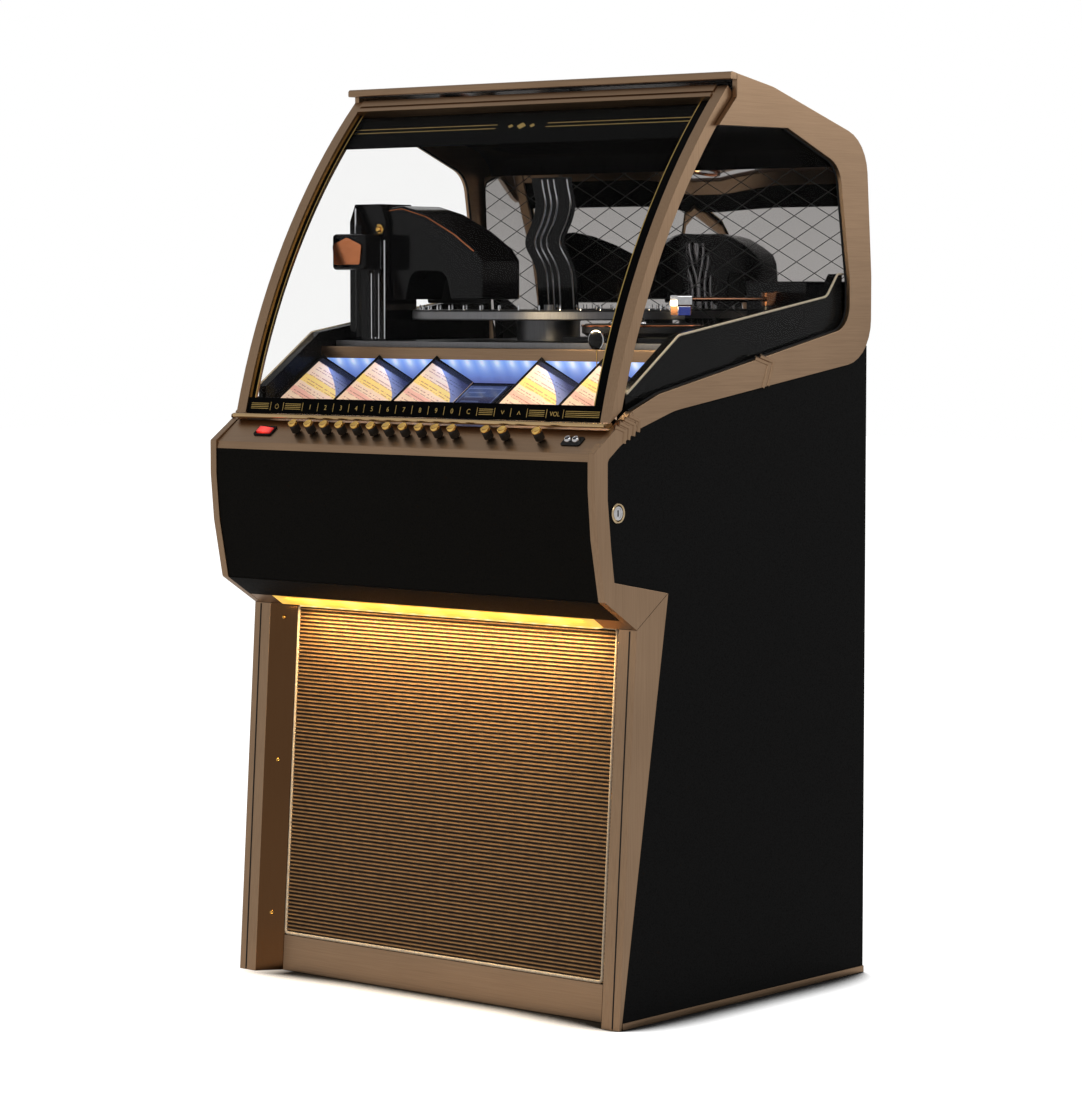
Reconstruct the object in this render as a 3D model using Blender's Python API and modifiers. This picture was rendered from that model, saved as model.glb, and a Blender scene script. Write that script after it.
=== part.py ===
"""Floor-standing jukebox for seven-inch records.

The part stands on the floor at z = 0, with +X to its right, -Y to its front and
+Z up.  The origin is the middle of the footprint of its bounding box.

Most pieces are flat outlines in the side view, carried across the cabinet.  A
point of the side view is written as two shares: how far it lies from the nose
towards the rear as a share of DEPTH, and how high as a share of HEIGHT.
"""

import math

import bmesh
import bpy
from mathutils import Matrix, Vector

# Overall size
HEIGHT = 1.530
WIDTH = 0.848
DEPTH = 0.747

# Clearances
SEAM = 0.0003
RUNNING_GAP = 0.0006
DOOR_GAP = 0.0015
OVERRUN = 0.010
WELD = 0.00001
STEP_ANGLE = math.radians(12)
FILLET_REACH_SHARE = 0.48

# Finishes: colour, roughness, metallic
BRONZE = ((0.47, 0.38, 0.30), 0.34, 1.0)
GOLD = ((0.78, 0.60, 0.30), 0.25, 1.0)
CHROME = ((0.80, 0.80, 0.82), 0.12, 1.0)
STEEL = ((0.45, 0.45, 0.46), 0.40, 1.0)
VINYL = ((0.016, 0.016, 0.017), 0.55, 0.0)
GLOSS_BLACK = ((0.010, 0.010, 0.011), 0.12, 0.0)
MATTE_BLACK = ((0.030, 0.030, 0.031), 0.65, 0.0)
GRILLE_CLOTH = ((0.42, 0.33, 0.20), 0.75, 0.0)
PIPING = ((0.85, 0.82, 0.74), 0.45, 0.0)
CLEAR = ((0.90, 0.93, 0.94), 0.03, 0.0)
MIRROR = ((0.80, 0.81, 0.82), 0.04, 1.0)
WOOD = ((0.36, 0.26, 0.17), 0.70, 0.0)
CREAM = ((0.85, 0.74, 0.56), 0.60, 0.0)
LAMP = ((1.00, 0.80, 0.45), 0.50, 0.0)
SCREEN = ((0.02, 0.04, 0.12), 0.15, 0.0)
RED = ((0.75, 0.02, 0.02), 0.30, 0.0)

# Side view of the bands, as shares of depth and height
ROOF_SHARES = (0.621, 0.9863)
REAR_TOP_SHARES = (0.977, 0.9337)
REAR_MID_SHARES = (1.000, 0.7840)
REAR_LOW_SHARES = (1.000, 0.6920)
BAND_FALL_SHARES = (0.273, 0.6425)
REAR_TOP_RADIUS = 0.080
REAR_LOW_RADIUS = 0.095
BAND_FALL_RADIUS = 0.200
JOINT_TOP_SHARES = (0.1258, 0.6438)
JOINT_LOW_SHARES = (0.1459, 0.6242)
WINDOW_FALL_SHARES = (0.2195, 0.6608)
WINDOW_LOW_SHARES = (0.9140, 0.7280)
WINDOW_MID_SHARES = (0.9150, 0.7780)
WINDOW_TOP_SHARES = (0.8730, 0.9050)
WINDOW_LOW_RADIUS = 0.045
WINDOW_TOP_RADIUS = 0.050
GUSSET_REAR_SHARES = (0.6750, 0.9428)
GUSSET_TIP_SHARES = (0.4240, 0.9419)
GUSSET_BEND_HEIGHT_SHARE = 0.9732
BAND_THICKNESS = 0.010

# Side view of the nose cheeks
NOSE_TOP_SHARES = (0.0000, 0.6020)
NOSE_INNER_TOP_SHARES = (0.0455, 0.5941)
NOSE_INNER_MID_SHARES = (0.0455, 0.5542)
NOSE_INNER_LOW_SHARES = (0.0576, 0.5026)
NOSE_INNER_END_SHARES = (0.0683, 0.4680)
NOSE_HOLLOW_SHARES = (0.0857, 0.6078)
CHIN_TIP_SHARES = (0.2511, 0.4520)
NOSE_LOW_SHARES = (0.0361, 0.4484)
NOSE_BELLY_SHARES = (0.0094, 0.5137)
NOSE_FRONT_SHARES = (0.0000, 0.5654)
NOSE_TOP_RADIUS = 0.004
NOSE_LOW_RADIUS = 0.006
NOSE_INNER_RADIUS = 0.012
CHEEK_THICKNESS = 0.014

# Side boards
SIDE_RECESS = 0.003
SIDE_BOARD_THICKNESS = 0.018
LINER_THICKNESS = 0.0174
GLASS_THICKNESS = 0.004
GLASS_LAP = 0.012
GLASS_TO_LINER = 0.0043
REAR_SETBACK = 0.009
MASK_SHARES = (
    (0.134, 0.6610), (0.313, 0.7209), (0.855, 0.7614), (0.897, 0.7863), (0.918, 0.7863),
)
LINER_FRONT_SHARES = (
    (0.0590, 0.4575), (0.0540, 0.5550), (0.0540, 0.5882), (0.1125, 0.6176), (0.134, 0.6307),
)
LINER_REAR_GAP = 0.007
LINER_FRONT_GAP = 0.004

# Top rail, roof and back
TOP_FRONT_SHARE = 0.4645
TOP_RAIL_DEPTH = 0.017
TOP_RAIL_HEIGHT = 0.0135
TOP_RAIL_RADIUS = 0.005
ROOF_RECESS = 0.002
ROOF_THICKNESS = 0.010
ROOF_END_HEIGHT_SHARE = 0.7386
BACK_THICKNESS = 0.010
BACK_LIFT = 0.006

# Legs, kick rail and grille
FOOT_FRONT_SHARE = 0.0857
FOOT_REAR_SHARE = 0.0934
LEG_TOP_SHARES = (0.1432, 0.4163)
LEG_FACE_WIDTH = 0.037
LEG_FACE_THICKNESS = 0.004
LEG_EDGE_INSET = 0.008
RECESS_DEPTH = 0.040
RECESS_SPLAY = 0.030
RECESS_WALL = 0.008
KICK_HEIGHT = 0.0615
KICK_THICKNESS = 0.018
KICK_PROUD = 0.003
GRILLE_THICKNESS = 0.012
PIPING_WIDTH = 0.005
PIPING_PROUD = 0.003
STRIP_LAMP_WIDTH_SHARE = 0.7783
STRIP_LAMP_DEPTH = 0.014
STRIP_LAMP_HEIGHT = 0.004
STRIP_LAMP_SETBACK = 0.012

# Nose: front panel, control panel and soffit
FRONT_PANEL_RECESS = 0.002
FRONT_PANEL_THICKNESS = 0.012
CONTROL_LIP_HEIGHT = 0.012
CONTROL_BEND_SHARES = (0.0060, 0.6010)
CONTROL_TOP_SHARES = (0.0709, 0.6242)
CONTROL_TAIL_DEPTH = 0.023
CONTROL_BEND_RADIUS = 0.003
CONTROL_THICKNESS = 0.003
SOFFIT_THICKNESS = 0.010
SOFFIT_TAIL_DEPTH = 0.044

# Buttons, knob, rocker and lock
BUTTON_PITCH_SHARE = 0.04198
BUTTON_COUNT = 11
BUTTON_ROW_START_SHARE = -0.28821
STEP_BUTTON_START_SHARE = 0.21698
STEP_BUTTON_COUNT = 2
VOLUME_PLACE_SHARE = 0.34375
ROCKER_PLACE_SHARE = -0.37677
CONTROL_ROW_SHARE = 0.50
BUTTON_RADIUS = 0.0082
BUTTON_HEIGHT = 0.0175
BUTTON_LIFT = 0.0032
BUTTON_CAP_RADIUS = 0.0066
BUTTON_CAP_HEIGHT = 0.0020
STEM_RADIUS = 0.0040
STEM_DEPTH = 0.0120
STEM_HOLE_RADIUS = 0.0048
BUTTON_STEPS = 16
ROCKER_LENGTH = 0.030
ROCKER_WIDTH = 0.014
ROCKER_THICKNESS = 0.010
ROCKER_EDGE = 0.0008
ROCKER_TILT = math.radians(6)
ROCKER_END_GAP = 0.0012
LOCK_SHARES = (0.0830, 0.5392)
LOCK_RADIUS = 0.0125
LOCK_REACH = 0.0026
LOCK_TAIL = 0.008

# Front door, hinged along its head
DOOR_FOOT_SHARES = (0.0709, 0.6320)
DOOR_HEAD_SHARES = (0.4739, 0.9850)
DOOR_SAG = 0.040
PILLAR_WIDTH = 0.0216
PILLAR_DEPTH = 0.023
PILLAR_HEEL = 0.026
DOOR_STEPS = 16
SIDE_GLASS_END = 0.052
SILL_DEPTH = 0.022
SILL_NOSE = 0.013
SILL_HEIGHT = 0.008
SILL_DROP = 0.0003
LABEL_HEIGHT = 0.028
LABEL_SETBACK = 0.003
LABEL_THICKNESS = 0.006
DOOR_GLASS_SETBACK = 0.008
DOOR_GLASS_THICKNESS = 0.005
HEADER_HEIGHT = 0.074
HEADER_THICKNESS = 0.002
HEAD_RAIL_HEIGHT = 0.027
HEAD_RAIL_PROUD = 0.003
HEAD_RAIL_DEPTH = 0.016
HEAD_GROOVE_DEPTH = 0.004
HEAD_GROOVE_START_SHARE = 0.30
HEAD_GROOVE_END_SHARE = 0.46

# Inside: deck, mirror, title rack and screen
DECK_TOP_SHARE = 0.7033
DECK_THICKNESS = 0.016
MIRROR_THICKNESS = 0.004
MIRROR_FOOT_SHARE = 0.9605
MIRROR_HEAD_SHARES = (0.9244, 0.9052)
RACK_RIDGE_FRONT_SHARES = (0.1292, 0.6353)
RACK_RIDGE_REAR_SHARES = (0.3190, 0.6948)
RACK_RAIL_THICKNESS = 0.012
RACK_RAIL_HEIGHT = 0.0195
RACK_RAIL_RISE = 0.0150
TENT_PITCH_SHARE = 0.3420
TENT_START_SHARE = 0.1297
TENT_HEIGHT = 0.048
TENTS_PER_SIDE = 3
RACK_BASE_THICKNESS = 0.006
SCREEN_WIDTH = 0.092
SCREEN_LENGTH = 0.130
SCREEN_THICKNESS = 0.006
SCREEN_EDGE = 0.002

# Record mechanism
MECHANISM_SIDE_GAP = 0.012
MECHANISM_REAR_GAP = 0.045
MECHANISM_BASE_THICKNESS = 0.012
CAROUSEL_RADIUS_SHARE = 0.6061
CAROUSEL_REAR_GAP = 0.0231
CAROUSEL_TOWER_GAP = 0.0045
CAROUSEL_THICKNESS = 0.017
CAROUSEL_LIFT = 0.0367
CAROUSEL_LIP = 0.030
CAROUSEL_LIP_DEPTH = 0.006
HUB_RADIUS = 0.055
AXLE_RADIUS = 0.008
AXLE_HEIGHT = 0.026
TOWER_SIDE_GAP = 0.0182
TOWER_WIDTH_SHARE = 0.2192
TOWER_FRONT_SHARE = 0.3735
TOWER_DEPTH = 0.080
TOWER_TOP_SHARE = 0.8660
TOWER_SHOULDER_DROP = 0.030
TOWER_CAP_WIDTH = 0.060
TOWER_RAIL_RADIUS = 0.006
TOWER_RAIL_SPACING = 0.044
TOWER_RAIL_SINK = 0.001
CARRIAGE_WIDTH = 0.078
CARRIAGE_DEPTH = 0.045
CARRIAGE_HEIGHT = 0.062
CARRIAGE_LOW_SHARE = 0.7915
HOOD_LENGTH = 0.212
HOOD_DEPTH = 0.100
HOOD_SETBACK = 0.010
HOOD_FLOOR_GAP = 0.018
HOOD_TOP_DROP = 0.007
HOOD_FALL_SHARES = ((0.00, 1.00), (0.14, 1.02), (0.40, 0.93), (0.70, 0.74), (0.92, 0.55), (1.00, 0.42))
ARCH_WIDTH = 0.104
ARCH_HEIGHT = 0.048
ARCH_PLACE_SHARE = 0.42
ARCH_CROWN_SHARE = 0.77
TURNTABLE_BASE_THICKNESS = 0.010
TURNTABLE_BASE_WIDTH = 0.235
PLATTER_INSET = 0.123
PLATTER_PLACE_SHARE = 0.447
PLATTER_RADIUS = 0.100
PLATTER_THICKNESS = 0.019
PLATTER_FOOT_SHARE = 0.90
PLATTER_RIM_SHARE = 0.33
SPINDLE_RADIUS = 0.0035
SPINDLE_HEIGHT = 0.012
ARM_PIVOT_INSET = 0.040
ARM_REAR_GAP = 0.0048
ARM_LIFT = 0.062
ARM_LENGTH = 0.265
ARM_SWING_OUT = math.radians(1.4)
ARM_TUBE_RADIUS = 0.004
ARM_PIVOT_RADIUS = 0.014
ARM_PIVOT_HEIGHT = 0.022
ARM_HEAD_LENGTH = 0.034
ARM_HEAD_WIDTH = 0.014
ARM_HEAD_HEIGHT = 0.030
ARM_HEAD_LIP = 0.002
COUNTERWEIGHT_RADIUS = 0.013
COUNTERWEIGHT_LENGTH = 0.024
COUNTERWEIGHT_REACH = 0.020
MOTOR_BOX_WIDTH = 0.125
MOTOR_BOX_DEPTH = 0.050
MOTOR_BOX_HEIGHT = 0.102

# Sound and power
SPEAKER_PLACE_SHARE = 0.2005
SPEAKER_HEIGHT_SHARE = 0.235
SPEAKER_RADIUS = 0.100
SPEAKER_DEPTH = 0.078
SPEAKER_FLANGE = 0.006
SPEAKER_BASKET_SHARE = 0.90
SPEAKER_WAIST_SHARE = 0.22
MAGNET_RADIUS = 0.052
MAGNET_DEPTH = 0.028
FLOOR_LIFT = 0.030
FLOOR_THICKNESS = 0.018
FLOOR_FRONT_GAP = 0.008
AMPLIFIER_SIZE = (0.300, 0.200, 0.110)
AMPLIFIER_REAR_GAP = 0.060
INLET_PLACE = 0.250
INLET_HEIGHT = 0.100
INLET_SIZE = (0.050, 0.008, 0.032)


def make_collection(name):
    """Make a collection in the scene and return it."""
    group = bpy.data.collections.new(name)
    bpy.context.scene.collection.children.link(group)
    return group


for old in list(bpy.data.objects):
    bpy.data.objects.remove(old, do_unlink=True)
PARTS = make_collection("jukebox")
TOOLS = make_collection("cutters")


def dress(thing, look):
    """Give an object its own material from a finish."""
    colour, roughness, metallic = look
    material = bpy.data.materials.new(thing.name + "_finish")
    material.use_nodes = True
    shader = material.node_tree.nodes["Principled BSDF"]
    shader.inputs["Base Color"].default_value = (*colour, 1.0)
    shader.inputs["Roughness"].default_value = roughness
    shader.inputs["Metallic"].default_value = metallic
    thing.data.materials.clear()
    thing.data.materials.append(material)
    return thing


def link_mesh(name, mesh, place=Matrix.Identity(4), group=None):
    """Make an object from a mesh at a place, in the parts or another collection."""
    thing = bpy.data.objects.new(name, mesh)
    thing.matrix_world = place
    (group or PARTS).objects.link(thing)
    return thing


def as_tool(thing):
    """Make an object a cutter, which the model leaves out."""
    for group in list(thing.users_collection):
        group.objects.unlink(thing)
    TOOLS.objects.link(thing)
    thing.hide_render = True
    thing.display_type = "WIRE"
    return thing


def combine(target, tool, operation):
    """Add a Boolean with a tool to a mesh object."""
    step = target.modifiers.new(operation.lower(), "BOOLEAN")
    step.operation = operation
    step.solver = "EXACT"
    step.object = as_tool(tool)
    return target


def at(shares):
    """Turn a pair of shares into a (y, z) point of the side view."""
    along, up = shares
    return Vector((along_depth(along), up * HEIGHT))


def along_depth(share):
    """Return the y that lies a share of the depth behind the nose."""
    return -DEPTH / 2 + share * DEPTH


def fillet(before, corner, after, radius):
    """Return the arc that rounds a corner, limited by its two walls."""
    back = before - corner
    ahead = after - corner
    half = back.angle(ahead) / 2
    limit = FILLET_REACH_SHARE * min(back.length, ahead.length)
    reach = min(radius / math.tan(half), limit)
    radius = reach * math.tan(half)
    centre = corner + (back.normalized() + ahead.normalized()).normalized() * radius / math.sin(half)
    start = corner + back.normalized() * reach - centre
    end = corner + ahead.normalized() * reach - centre
    sweep = math.remainder(math.atan2(end.y, end.x) - math.atan2(start.y, start.x), math.tau)
    steps = max(2, math.ceil(abs(sweep) / STEP_ANGLE))
    return [centre + Matrix.Rotation(sweep * n / steps, 2) @ start for n in range(steps + 1)]


def soften(corners, closed=True):
    """Round the corners of an outline, given as points or (point, radius) pairs."""
    pairs = [item if isinstance(item, tuple) else (item, 0) for item in corners]
    path = []
    for index, (point, radius) in enumerate(pairs):
        inner = closed or 0 < index < len(pairs) - 1
        if radius and inner:
            after = pairs[(index + 1) % len(pairs)][0]
            path.extend(fillet(pairs[index - 1][0], point, after, radius))
        else:
            path.append(point)
    return path


def beside(path, distance, closed=False):
    """Return a path shifted to the left of its own direction."""
    shifted = []
    count = len(path)
    for index, point in enumerate(path):
        before = path[index - 1] if closed or index else None
        after = path[(index + 1) % count] if closed or index < count - 1 else None
        normals = []
        if before is not None:
            run = (point - before).normalized()
            normals.append(Vector((-run.y, run.x)))
        if after is not None:
            run = (after - point).normalized()
            normals.append(Vector((-run.y, run.x)))
        middle = sum(normals, Vector((0, 0))).normalized()
        shifted.append(point + middle * distance / middle.dot(normals[0]))
    return shifted


def inset(outline, distance):
    """Shrink a closed outline by a distance, or grow it where that is negative."""
    area = sum(a.x * b.y - a.y * b.x for a, b in zip(outline, outline[1:] + outline[:1]))
    return beside(outline, math.copysign(distance, distance * area), closed=True)


def strip(path, near, far):
    """Return the outline of a sheet between two distances left of a path."""
    return beside(path, near) + list(reversed(beside(path, far)))


def crossing(path, y):
    """Return the height at which a rearward path passes a given y."""
    for start, end in zip(path, path[1:]):
        if start.x <= y <= end.x:
            return start.y + (end.y - start.y) * (y - start.x) / (end.x - start.x)
    return path[0].y


def extruded(name, outlines, thickness, place, look=None):
    """Make a flat outline, with any holes, into a slab centred on its plane."""
    curve = bpy.data.curves.new(name, "CURVE")
    curve.dimensions = "2D"
    curve.fill_mode = "BOTH"
    curve.extrude = thickness / 2
    for outline in outlines:
        spline = curve.splines.new("POLY")
        spline.points.add(len(outline) - 1)
        for point, corner in zip(spline.points, outline):
            point.co = (corner[0], corner[1], 0, 1)
        spline.use_cyclic_u = True
    thing = bpy.data.objects.new(name, curve)
    thing.matrix_world = place
    PARTS.objects.link(thing)
    return dress(thing, look) if look else thing


ACROSS = Matrix(((0, 0, 1), (1, 0, 0), (0, 1, 0))).to_4x4()
INWARD = Matrix(((1, 0, 0), (0, 0, -1), (0, 1, 0))).to_4x4()


def across(name, outline, low_x, high_x, look=None, holes=()):
    """Carry a side-view outline across the cabinet from one x to another."""
    place = Matrix.Translation(((low_x + high_x) / 2, 0, 0)) @ ACROSS
    return extruded(name, [outline, *holes], high_x - low_x, place, look)


def as_mesh(thing, look=None):
    """Turn a curve object into a mesh object with welded caps."""
    bpy.context.view_layer.update()
    evaluated = thing.evaluated_get(bpy.context.evaluated_depsgraph_get())
    mesh = bpy.data.meshes.new_from_object(evaluated)
    shape = bmesh.new()
    shape.from_mesh(mesh)
    bmesh.ops.remove_doubles(shape, verts=shape.verts, dist=WELD)
    bmesh.ops.recalc_face_normals(shape, faces=shape.faces)
    shape.to_mesh(mesh)
    shape.free()
    name = thing.name
    place = thing.matrix_world.copy()
    bpy.data.objects.remove(thing, do_unlink=True)
    mesh.name = name
    solid = link_mesh(name, mesh, place)
    solid.name = name
    return dress(solid, look) if look else solid


def block(name, low, high, look=None, edge=0.0):
    """Make a box between two corners, with its edges rounded if asked."""
    low, high = Vector(low), Vector(high)
    mesh = bpy.data.meshes.new(name)
    shape = bmesh.new()
    bmesh.ops.create_cube(shape, size=1.0)
    bmesh.ops.scale(shape, vec=high - low, verts=shape.verts)
    shape.to_mesh(mesh)
    shape.free()
    thing = link_mesh(name, mesh, Matrix.Translation((low + high) / 2))
    if edge:
        bevel = thing.modifiers.new("rounded_edges", "BEVEL")
        bevel.width = edge
        bevel.segments = 2
    return dress(thing, look) if look else thing


def turned(name, profile, place, look=None, closed=False, steps=32):
    """Turn a profile of (radius, height) points about the local z axis."""
    mesh = bpy.data.meshes.new(name)
    shape = bmesh.new()
    corners = [shape.verts.new((radius, 0, height)) for radius, height in profile]
    for first, second in zip(corners, corners[1:]):
        shape.edges.new((first, second))
    if closed:
        shape.edges.new((corners[-1], corners[0]))
    shape.to_mesh(mesh)
    shape.free()
    thing = link_mesh(name, mesh, place)
    screw = thing.modifiers.new("turn", "SCREW")
    screw.steps = steps
    screw.render_steps = steps
    screw.use_merge_vertices = True
    screw.merge_threshold = WELD
    screw.use_smooth_shade = False
    return dress(thing, look) if look else thing


def rod(name, start, end, radius, look=None, steps=16):
    """Make a round bar between two points."""
    start, end = Vector(start), Vector(end)
    run = end - start
    place = Matrix.Translation(start) @ run.to_track_quat("Z", "Y").to_matrix().to_4x4()
    profile = [(0, run.length), (radius, run.length), (radius, 0), (0, 0)]
    return turned(name, profile, place, look, steps=steps)


def drum(radius, low, high):
    """Return the profile of a plain cylinder between two heights."""
    return [(0, high), (radius, high), (radius, low), (0, low)]


# Widths that the pieces share
HALF = WIDTH / 2
BAND_FACE = HALF - BAND_THICKNESS
CHEEK_FACE = HALF - CHEEK_THICKNESS
BOARD_OUTSIDE = HALF - SIDE_RECESS
BOARD_INSIDE = BOARD_OUTSIDE - SIDE_BOARD_THICKNESS
GLASS_OUTSIDE = BAND_FACE - SEAM
GLASS_INSIDE = GLASS_OUTSIDE - GLASS_THICKNESS
LINER_OUTSIDE = GLASS_INSIDE - GLASS_TO_LINER
LINER_INSIDE = LINER_OUTSIDE - LINER_THICKNESS
ROOM_HALF = LINER_INSIDE - SEAM
PILLAR_OUTSIDE = BAND_FACE - 2 * SEAM
PILLAR_INSIDE = PILLAR_OUTSIDE - PILLAR_WIDTH
DOOR_HALF = PILLAR_INSIDE - SEAM
NOSE_HALF = CHEEK_FACE - SEAM

# Lines of the side view that the pieces share
FOOT_FRONT = along_depth(FOOT_FRONT_SHARE)
FOOT_REAR = along_depth(FOOT_REAR_SHARE)
LEG_TOP = at(LEG_TOP_SHARES)
CHIN_TIP = at(CHIN_TIP_SHARES)
LEG_LEAN = (LEG_TOP.x - FOOT_FRONT) / LEG_TOP.y
TOP_RAIL_FRONT = along_depth(TOP_FRONT_SHARE)
TOP_RAIL_REAR = TOP_RAIL_FRONT + TOP_RAIL_DEPTH
ROOF_PATH = soften([
    Vector((TOP_RAIL_FRONT, HEIGHT)), (at(ROOF_SHARES), REAR_TOP_RADIUS), (at(REAR_TOP_SHARES), REAR_TOP_RADIUS),
    (at(REAR_MID_SHARES), REAR_TOP_RADIUS), at(REAR_LOW_SHARES),
], closed=False)
BACK_REAR = DEPTH / 2 - REAR_SETBACK
BACK_FRONT = BACK_REAR - BACK_THICKNESS
DECK_TOP = DECK_TOP_SHARE * HEIGHT
DECK_LOW = DECK_TOP - DECK_THICKNESS


def leg_line(height):
    """Return the y of the legs' front line at a height."""
    return FOOT_FRONT + LEG_LEAN * height


class DoorArc:
    """The round side view of the door's front face, from its foot to its head."""

    foot = at(DOOR_FOOT_SHARES)
    head = at(DOOR_HEAD_SHARES)
    chord = head - foot
    radius = chord.length_squared / (8 * DOOR_SAG) + DOOR_SAG / 2
    half = math.asin(chord.length / (2 * radius))
    forward = Vector((-chord.y, chord.x)).normalized()
    centre = (foot + head) / 2 + forward * (DOOR_SAG - radius)
    length = 2 * half * radius

    @classmethod
    def point(cls, inward, travel):
        """Return the point a distance behind the face, at a travel up from the foot."""
        turn = cls.half - travel / cls.radius
        ray = Matrix.Rotation(turn, 2) @ cls.forward
        return cls.centre + ray * (cls.radius - inward)

    @classmethod
    def path(cls, inward, low, high):
        """Return points along the arc between two travels."""
        steps = max(1, round((high - low) / cls.length * DOOR_STEPS))
        return [cls.point(inward, low + (high - low) * n / steps) for n in range(steps + 1)]

    @classmethod
    def band(cls, near, far, low, high):
        """Return the outline between two depths behind the face."""
        return cls.path(near, low, high) + list(reversed(cls.path(far, low, high)))


def pair(maker):
    """Make a piece for the left and for the right side of the cabinet."""
    for side, sign in (("left", -1), ("right", 1)):
        maker(side, sign)


def span(inner, outer, sign):
    """Return the low and high x of a slab between two distances from the middle."""
    return sorted((inner * sign, outer * sign))


def window_path():
    """Return the band's inner edge from its low front end round to the gusset's tip."""
    return soften([
        at(JOINT_TOP_SHARES), at(WINDOW_FALL_SHARES), (at(WINDOW_LOW_SHARES), WINDOW_LOW_RADIUS),
        (at(WINDOW_MID_SHARES), WINDOW_TOP_RADIUS), (at(WINDOW_TOP_SHARES), WINDOW_TOP_RADIUS),
        at(GUSSET_REAR_SHARES), at(GUSSET_TIP_SHARES),
    ], closed=False)


def band_low_path():
    """Return the band's outer edge from its rear middle down and forward to its joint."""
    return soften([
        at(REAR_MID_SHARES), (at(REAR_LOW_SHARES), REAR_LOW_RADIUS),
        (at(BAND_FALL_SHARES), BAND_FALL_RADIUS), at(JOINT_LOW_SHARES),
    ], closed=False)


def side_bands():
    """Bronze bands round the side windows, with the gusset at the top front."""
    front = TOP_RAIL_REAR + SEAM
    roof = [point for point in ROOF_PATH[:-1] if point.x > front]
    start = Vector((front, crossing(ROOF_PATH, front)))
    bend = Vector((front, GUSSET_BEND_HEIGHT_SHARE * HEIGHT))
    outline = [start] + roof + band_low_path()[1:] + window_path() + [bend]

    def make(side, sign):
        low, high = span(BAND_FACE, HALF, sign)
        across("side_band_" + side, inset(outline, SEAM / 2), low, high, BRONZE)

    pair(make)


def nose_cheeks():
    """Bronze cheeks that close the ends of the nose."""
    outline = soften([
        (at(NOSE_TOP_SHARES), NOSE_TOP_RADIUS), at(JOINT_TOP_SHARES), at(JOINT_LOW_SHARES), at(NOSE_HOLLOW_SHARES),
        (at(NOSE_INNER_TOP_SHARES), NOSE_INNER_RADIUS), at(NOSE_INNER_MID_SHARES), at(NOSE_INNER_LOW_SHARES),
        at(NOSE_INNER_END_SHARES), CHIN_TIP, LEG_TOP, (at(NOSE_LOW_SHARES), NOSE_LOW_RADIUS),
        at(NOSE_BELLY_SHARES), at(NOSE_FRONT_SHARES),
    ])

    def make(side, sign):
        low, high = span(CHEEK_FACE, HALF, sign)
        across("nose_cheek_" + side, inset(outline, SEAM / 2), low, high, BRONZE)

    pair(make)


def legs():
    """Front legs: a tapered wedge on the side, a front face and a splayed recess wall."""
    wedge = [Vector((FOOT_FRONT, 0)), LEG_TOP, CHIN_TIP, Vector((FOOT_REAR, 0))]
    lean = Matrix.Identity(4)
    lean[1][2] = LEG_LEAN

    def make(side, sign):
        low, high = span(CHEEK_FACE, HALF, sign)
        leg = as_mesh(across("leg_" + side, inset(wedge, SEAM / 2), low, high), BRONZE)
        inner_face = HALF - LEG_FACE_WIDTH
        wall_foot = inner_face - RECESS_SPLAY
        back = RECESS_DEPTH + RECESS_WALL
        plan = [
            (HALF - LEG_EDGE_INSET, SEAM), (inner_face, SEAM), (wall_foot, RECESS_DEPTH),
            (wall_foot, back), (BOARD_INSIDE - SEAM, back), (BOARD_INSIDE - SEAM, LEG_FACE_THICKNESS),
            (HALF - LEG_EDGE_INSET, LEG_FACE_THICKNESS),
        ]
        outline = [(sign * x, FOOT_FRONT + y) for x, y in plan]
        tall = LEG_TOP.y - SEAM
        post = as_mesh(extruded("leg_post_" + side, [outline], tall, Matrix.Identity(4)))
        post.data.transform(lean @ Matrix.Translation((0, 0, tall / 2)))
        combine(leg, post, "UNION")

    pair(make)


def side_boards():
    """Cabinet sides: the outer board and the liner that carries the deck."""
    outer = [Vector((FOOT_REAR, 0)), CHIN_TIP, at(NOSE_INNER_END_SHARES), at(NOSE_INNER_LOW_SHARES),
             at(NOSE_INNER_MID_SHARES)]
    crown = soften([at(NOSE_INNER_MID_SHARES), (at(NOSE_INNER_TOP_SHARES), NOSE_INNER_RADIUS),
                    at(NOSE_HOLLOW_SHARES), at(JOINT_LOW_SHARES)], closed=False)
    low_edge = [point for point in reversed(band_low_path()) if point.x < BACK_REAR]
    corner_height = low_edge[-1].y
    outer += crown[1:] + low_edge[1:] + [Vector((BACK_REAR, corner_height)), Vector((BACK_REAR, 0))]
    rear = BACK_FRONT - LINER_REAR_GAP
    wall = RECESS_DEPTH + RECESS_WALL + LINER_FRONT_GAP
    mask = [at(shares) for shares in MASK_SHARES]
    liner = [Vector((leg_line(0) + wall, 0)), Vector((leg_line(LEG_TOP.y) + wall, LEG_TOP.y + 2 * SOFFIT_THICKNESS))]
    liner += [at(shares) for shares in LINER_FRONT_SHARES] + mask
    liner += [Vector((mask[-1].x, DECK_LOW)), Vector((rear, DECK_LOW - DECK_THICKNESS)), Vector((rear, 0))]
    lock = at(LOCK_SHARES)

    def make(side, sign):
        low, high = span(BOARD_INSIDE, BOARD_OUTSIDE, sign)
        board = as_mesh(across("side_panel_" + side, inset(outer, SEAM / 2), low, high), VINYL)
        low, high = span(LINER_INSIDE, LINER_OUTSIDE, sign)
        combine(board, as_mesh(across("liner_" + side, liner, low, high)), "UNION")
        if sign > 0:
            start = (LINER_INSIDE - OVERRUN, lock.x, lock.y)
            end = (HALF + OVERRUN, lock.x, lock.y)
            combine(board, rod("lock_bore", start, end, LOCK_RADIUS + RUNNING_GAP), "DIFFERENCE")

    pair(make)


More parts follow.
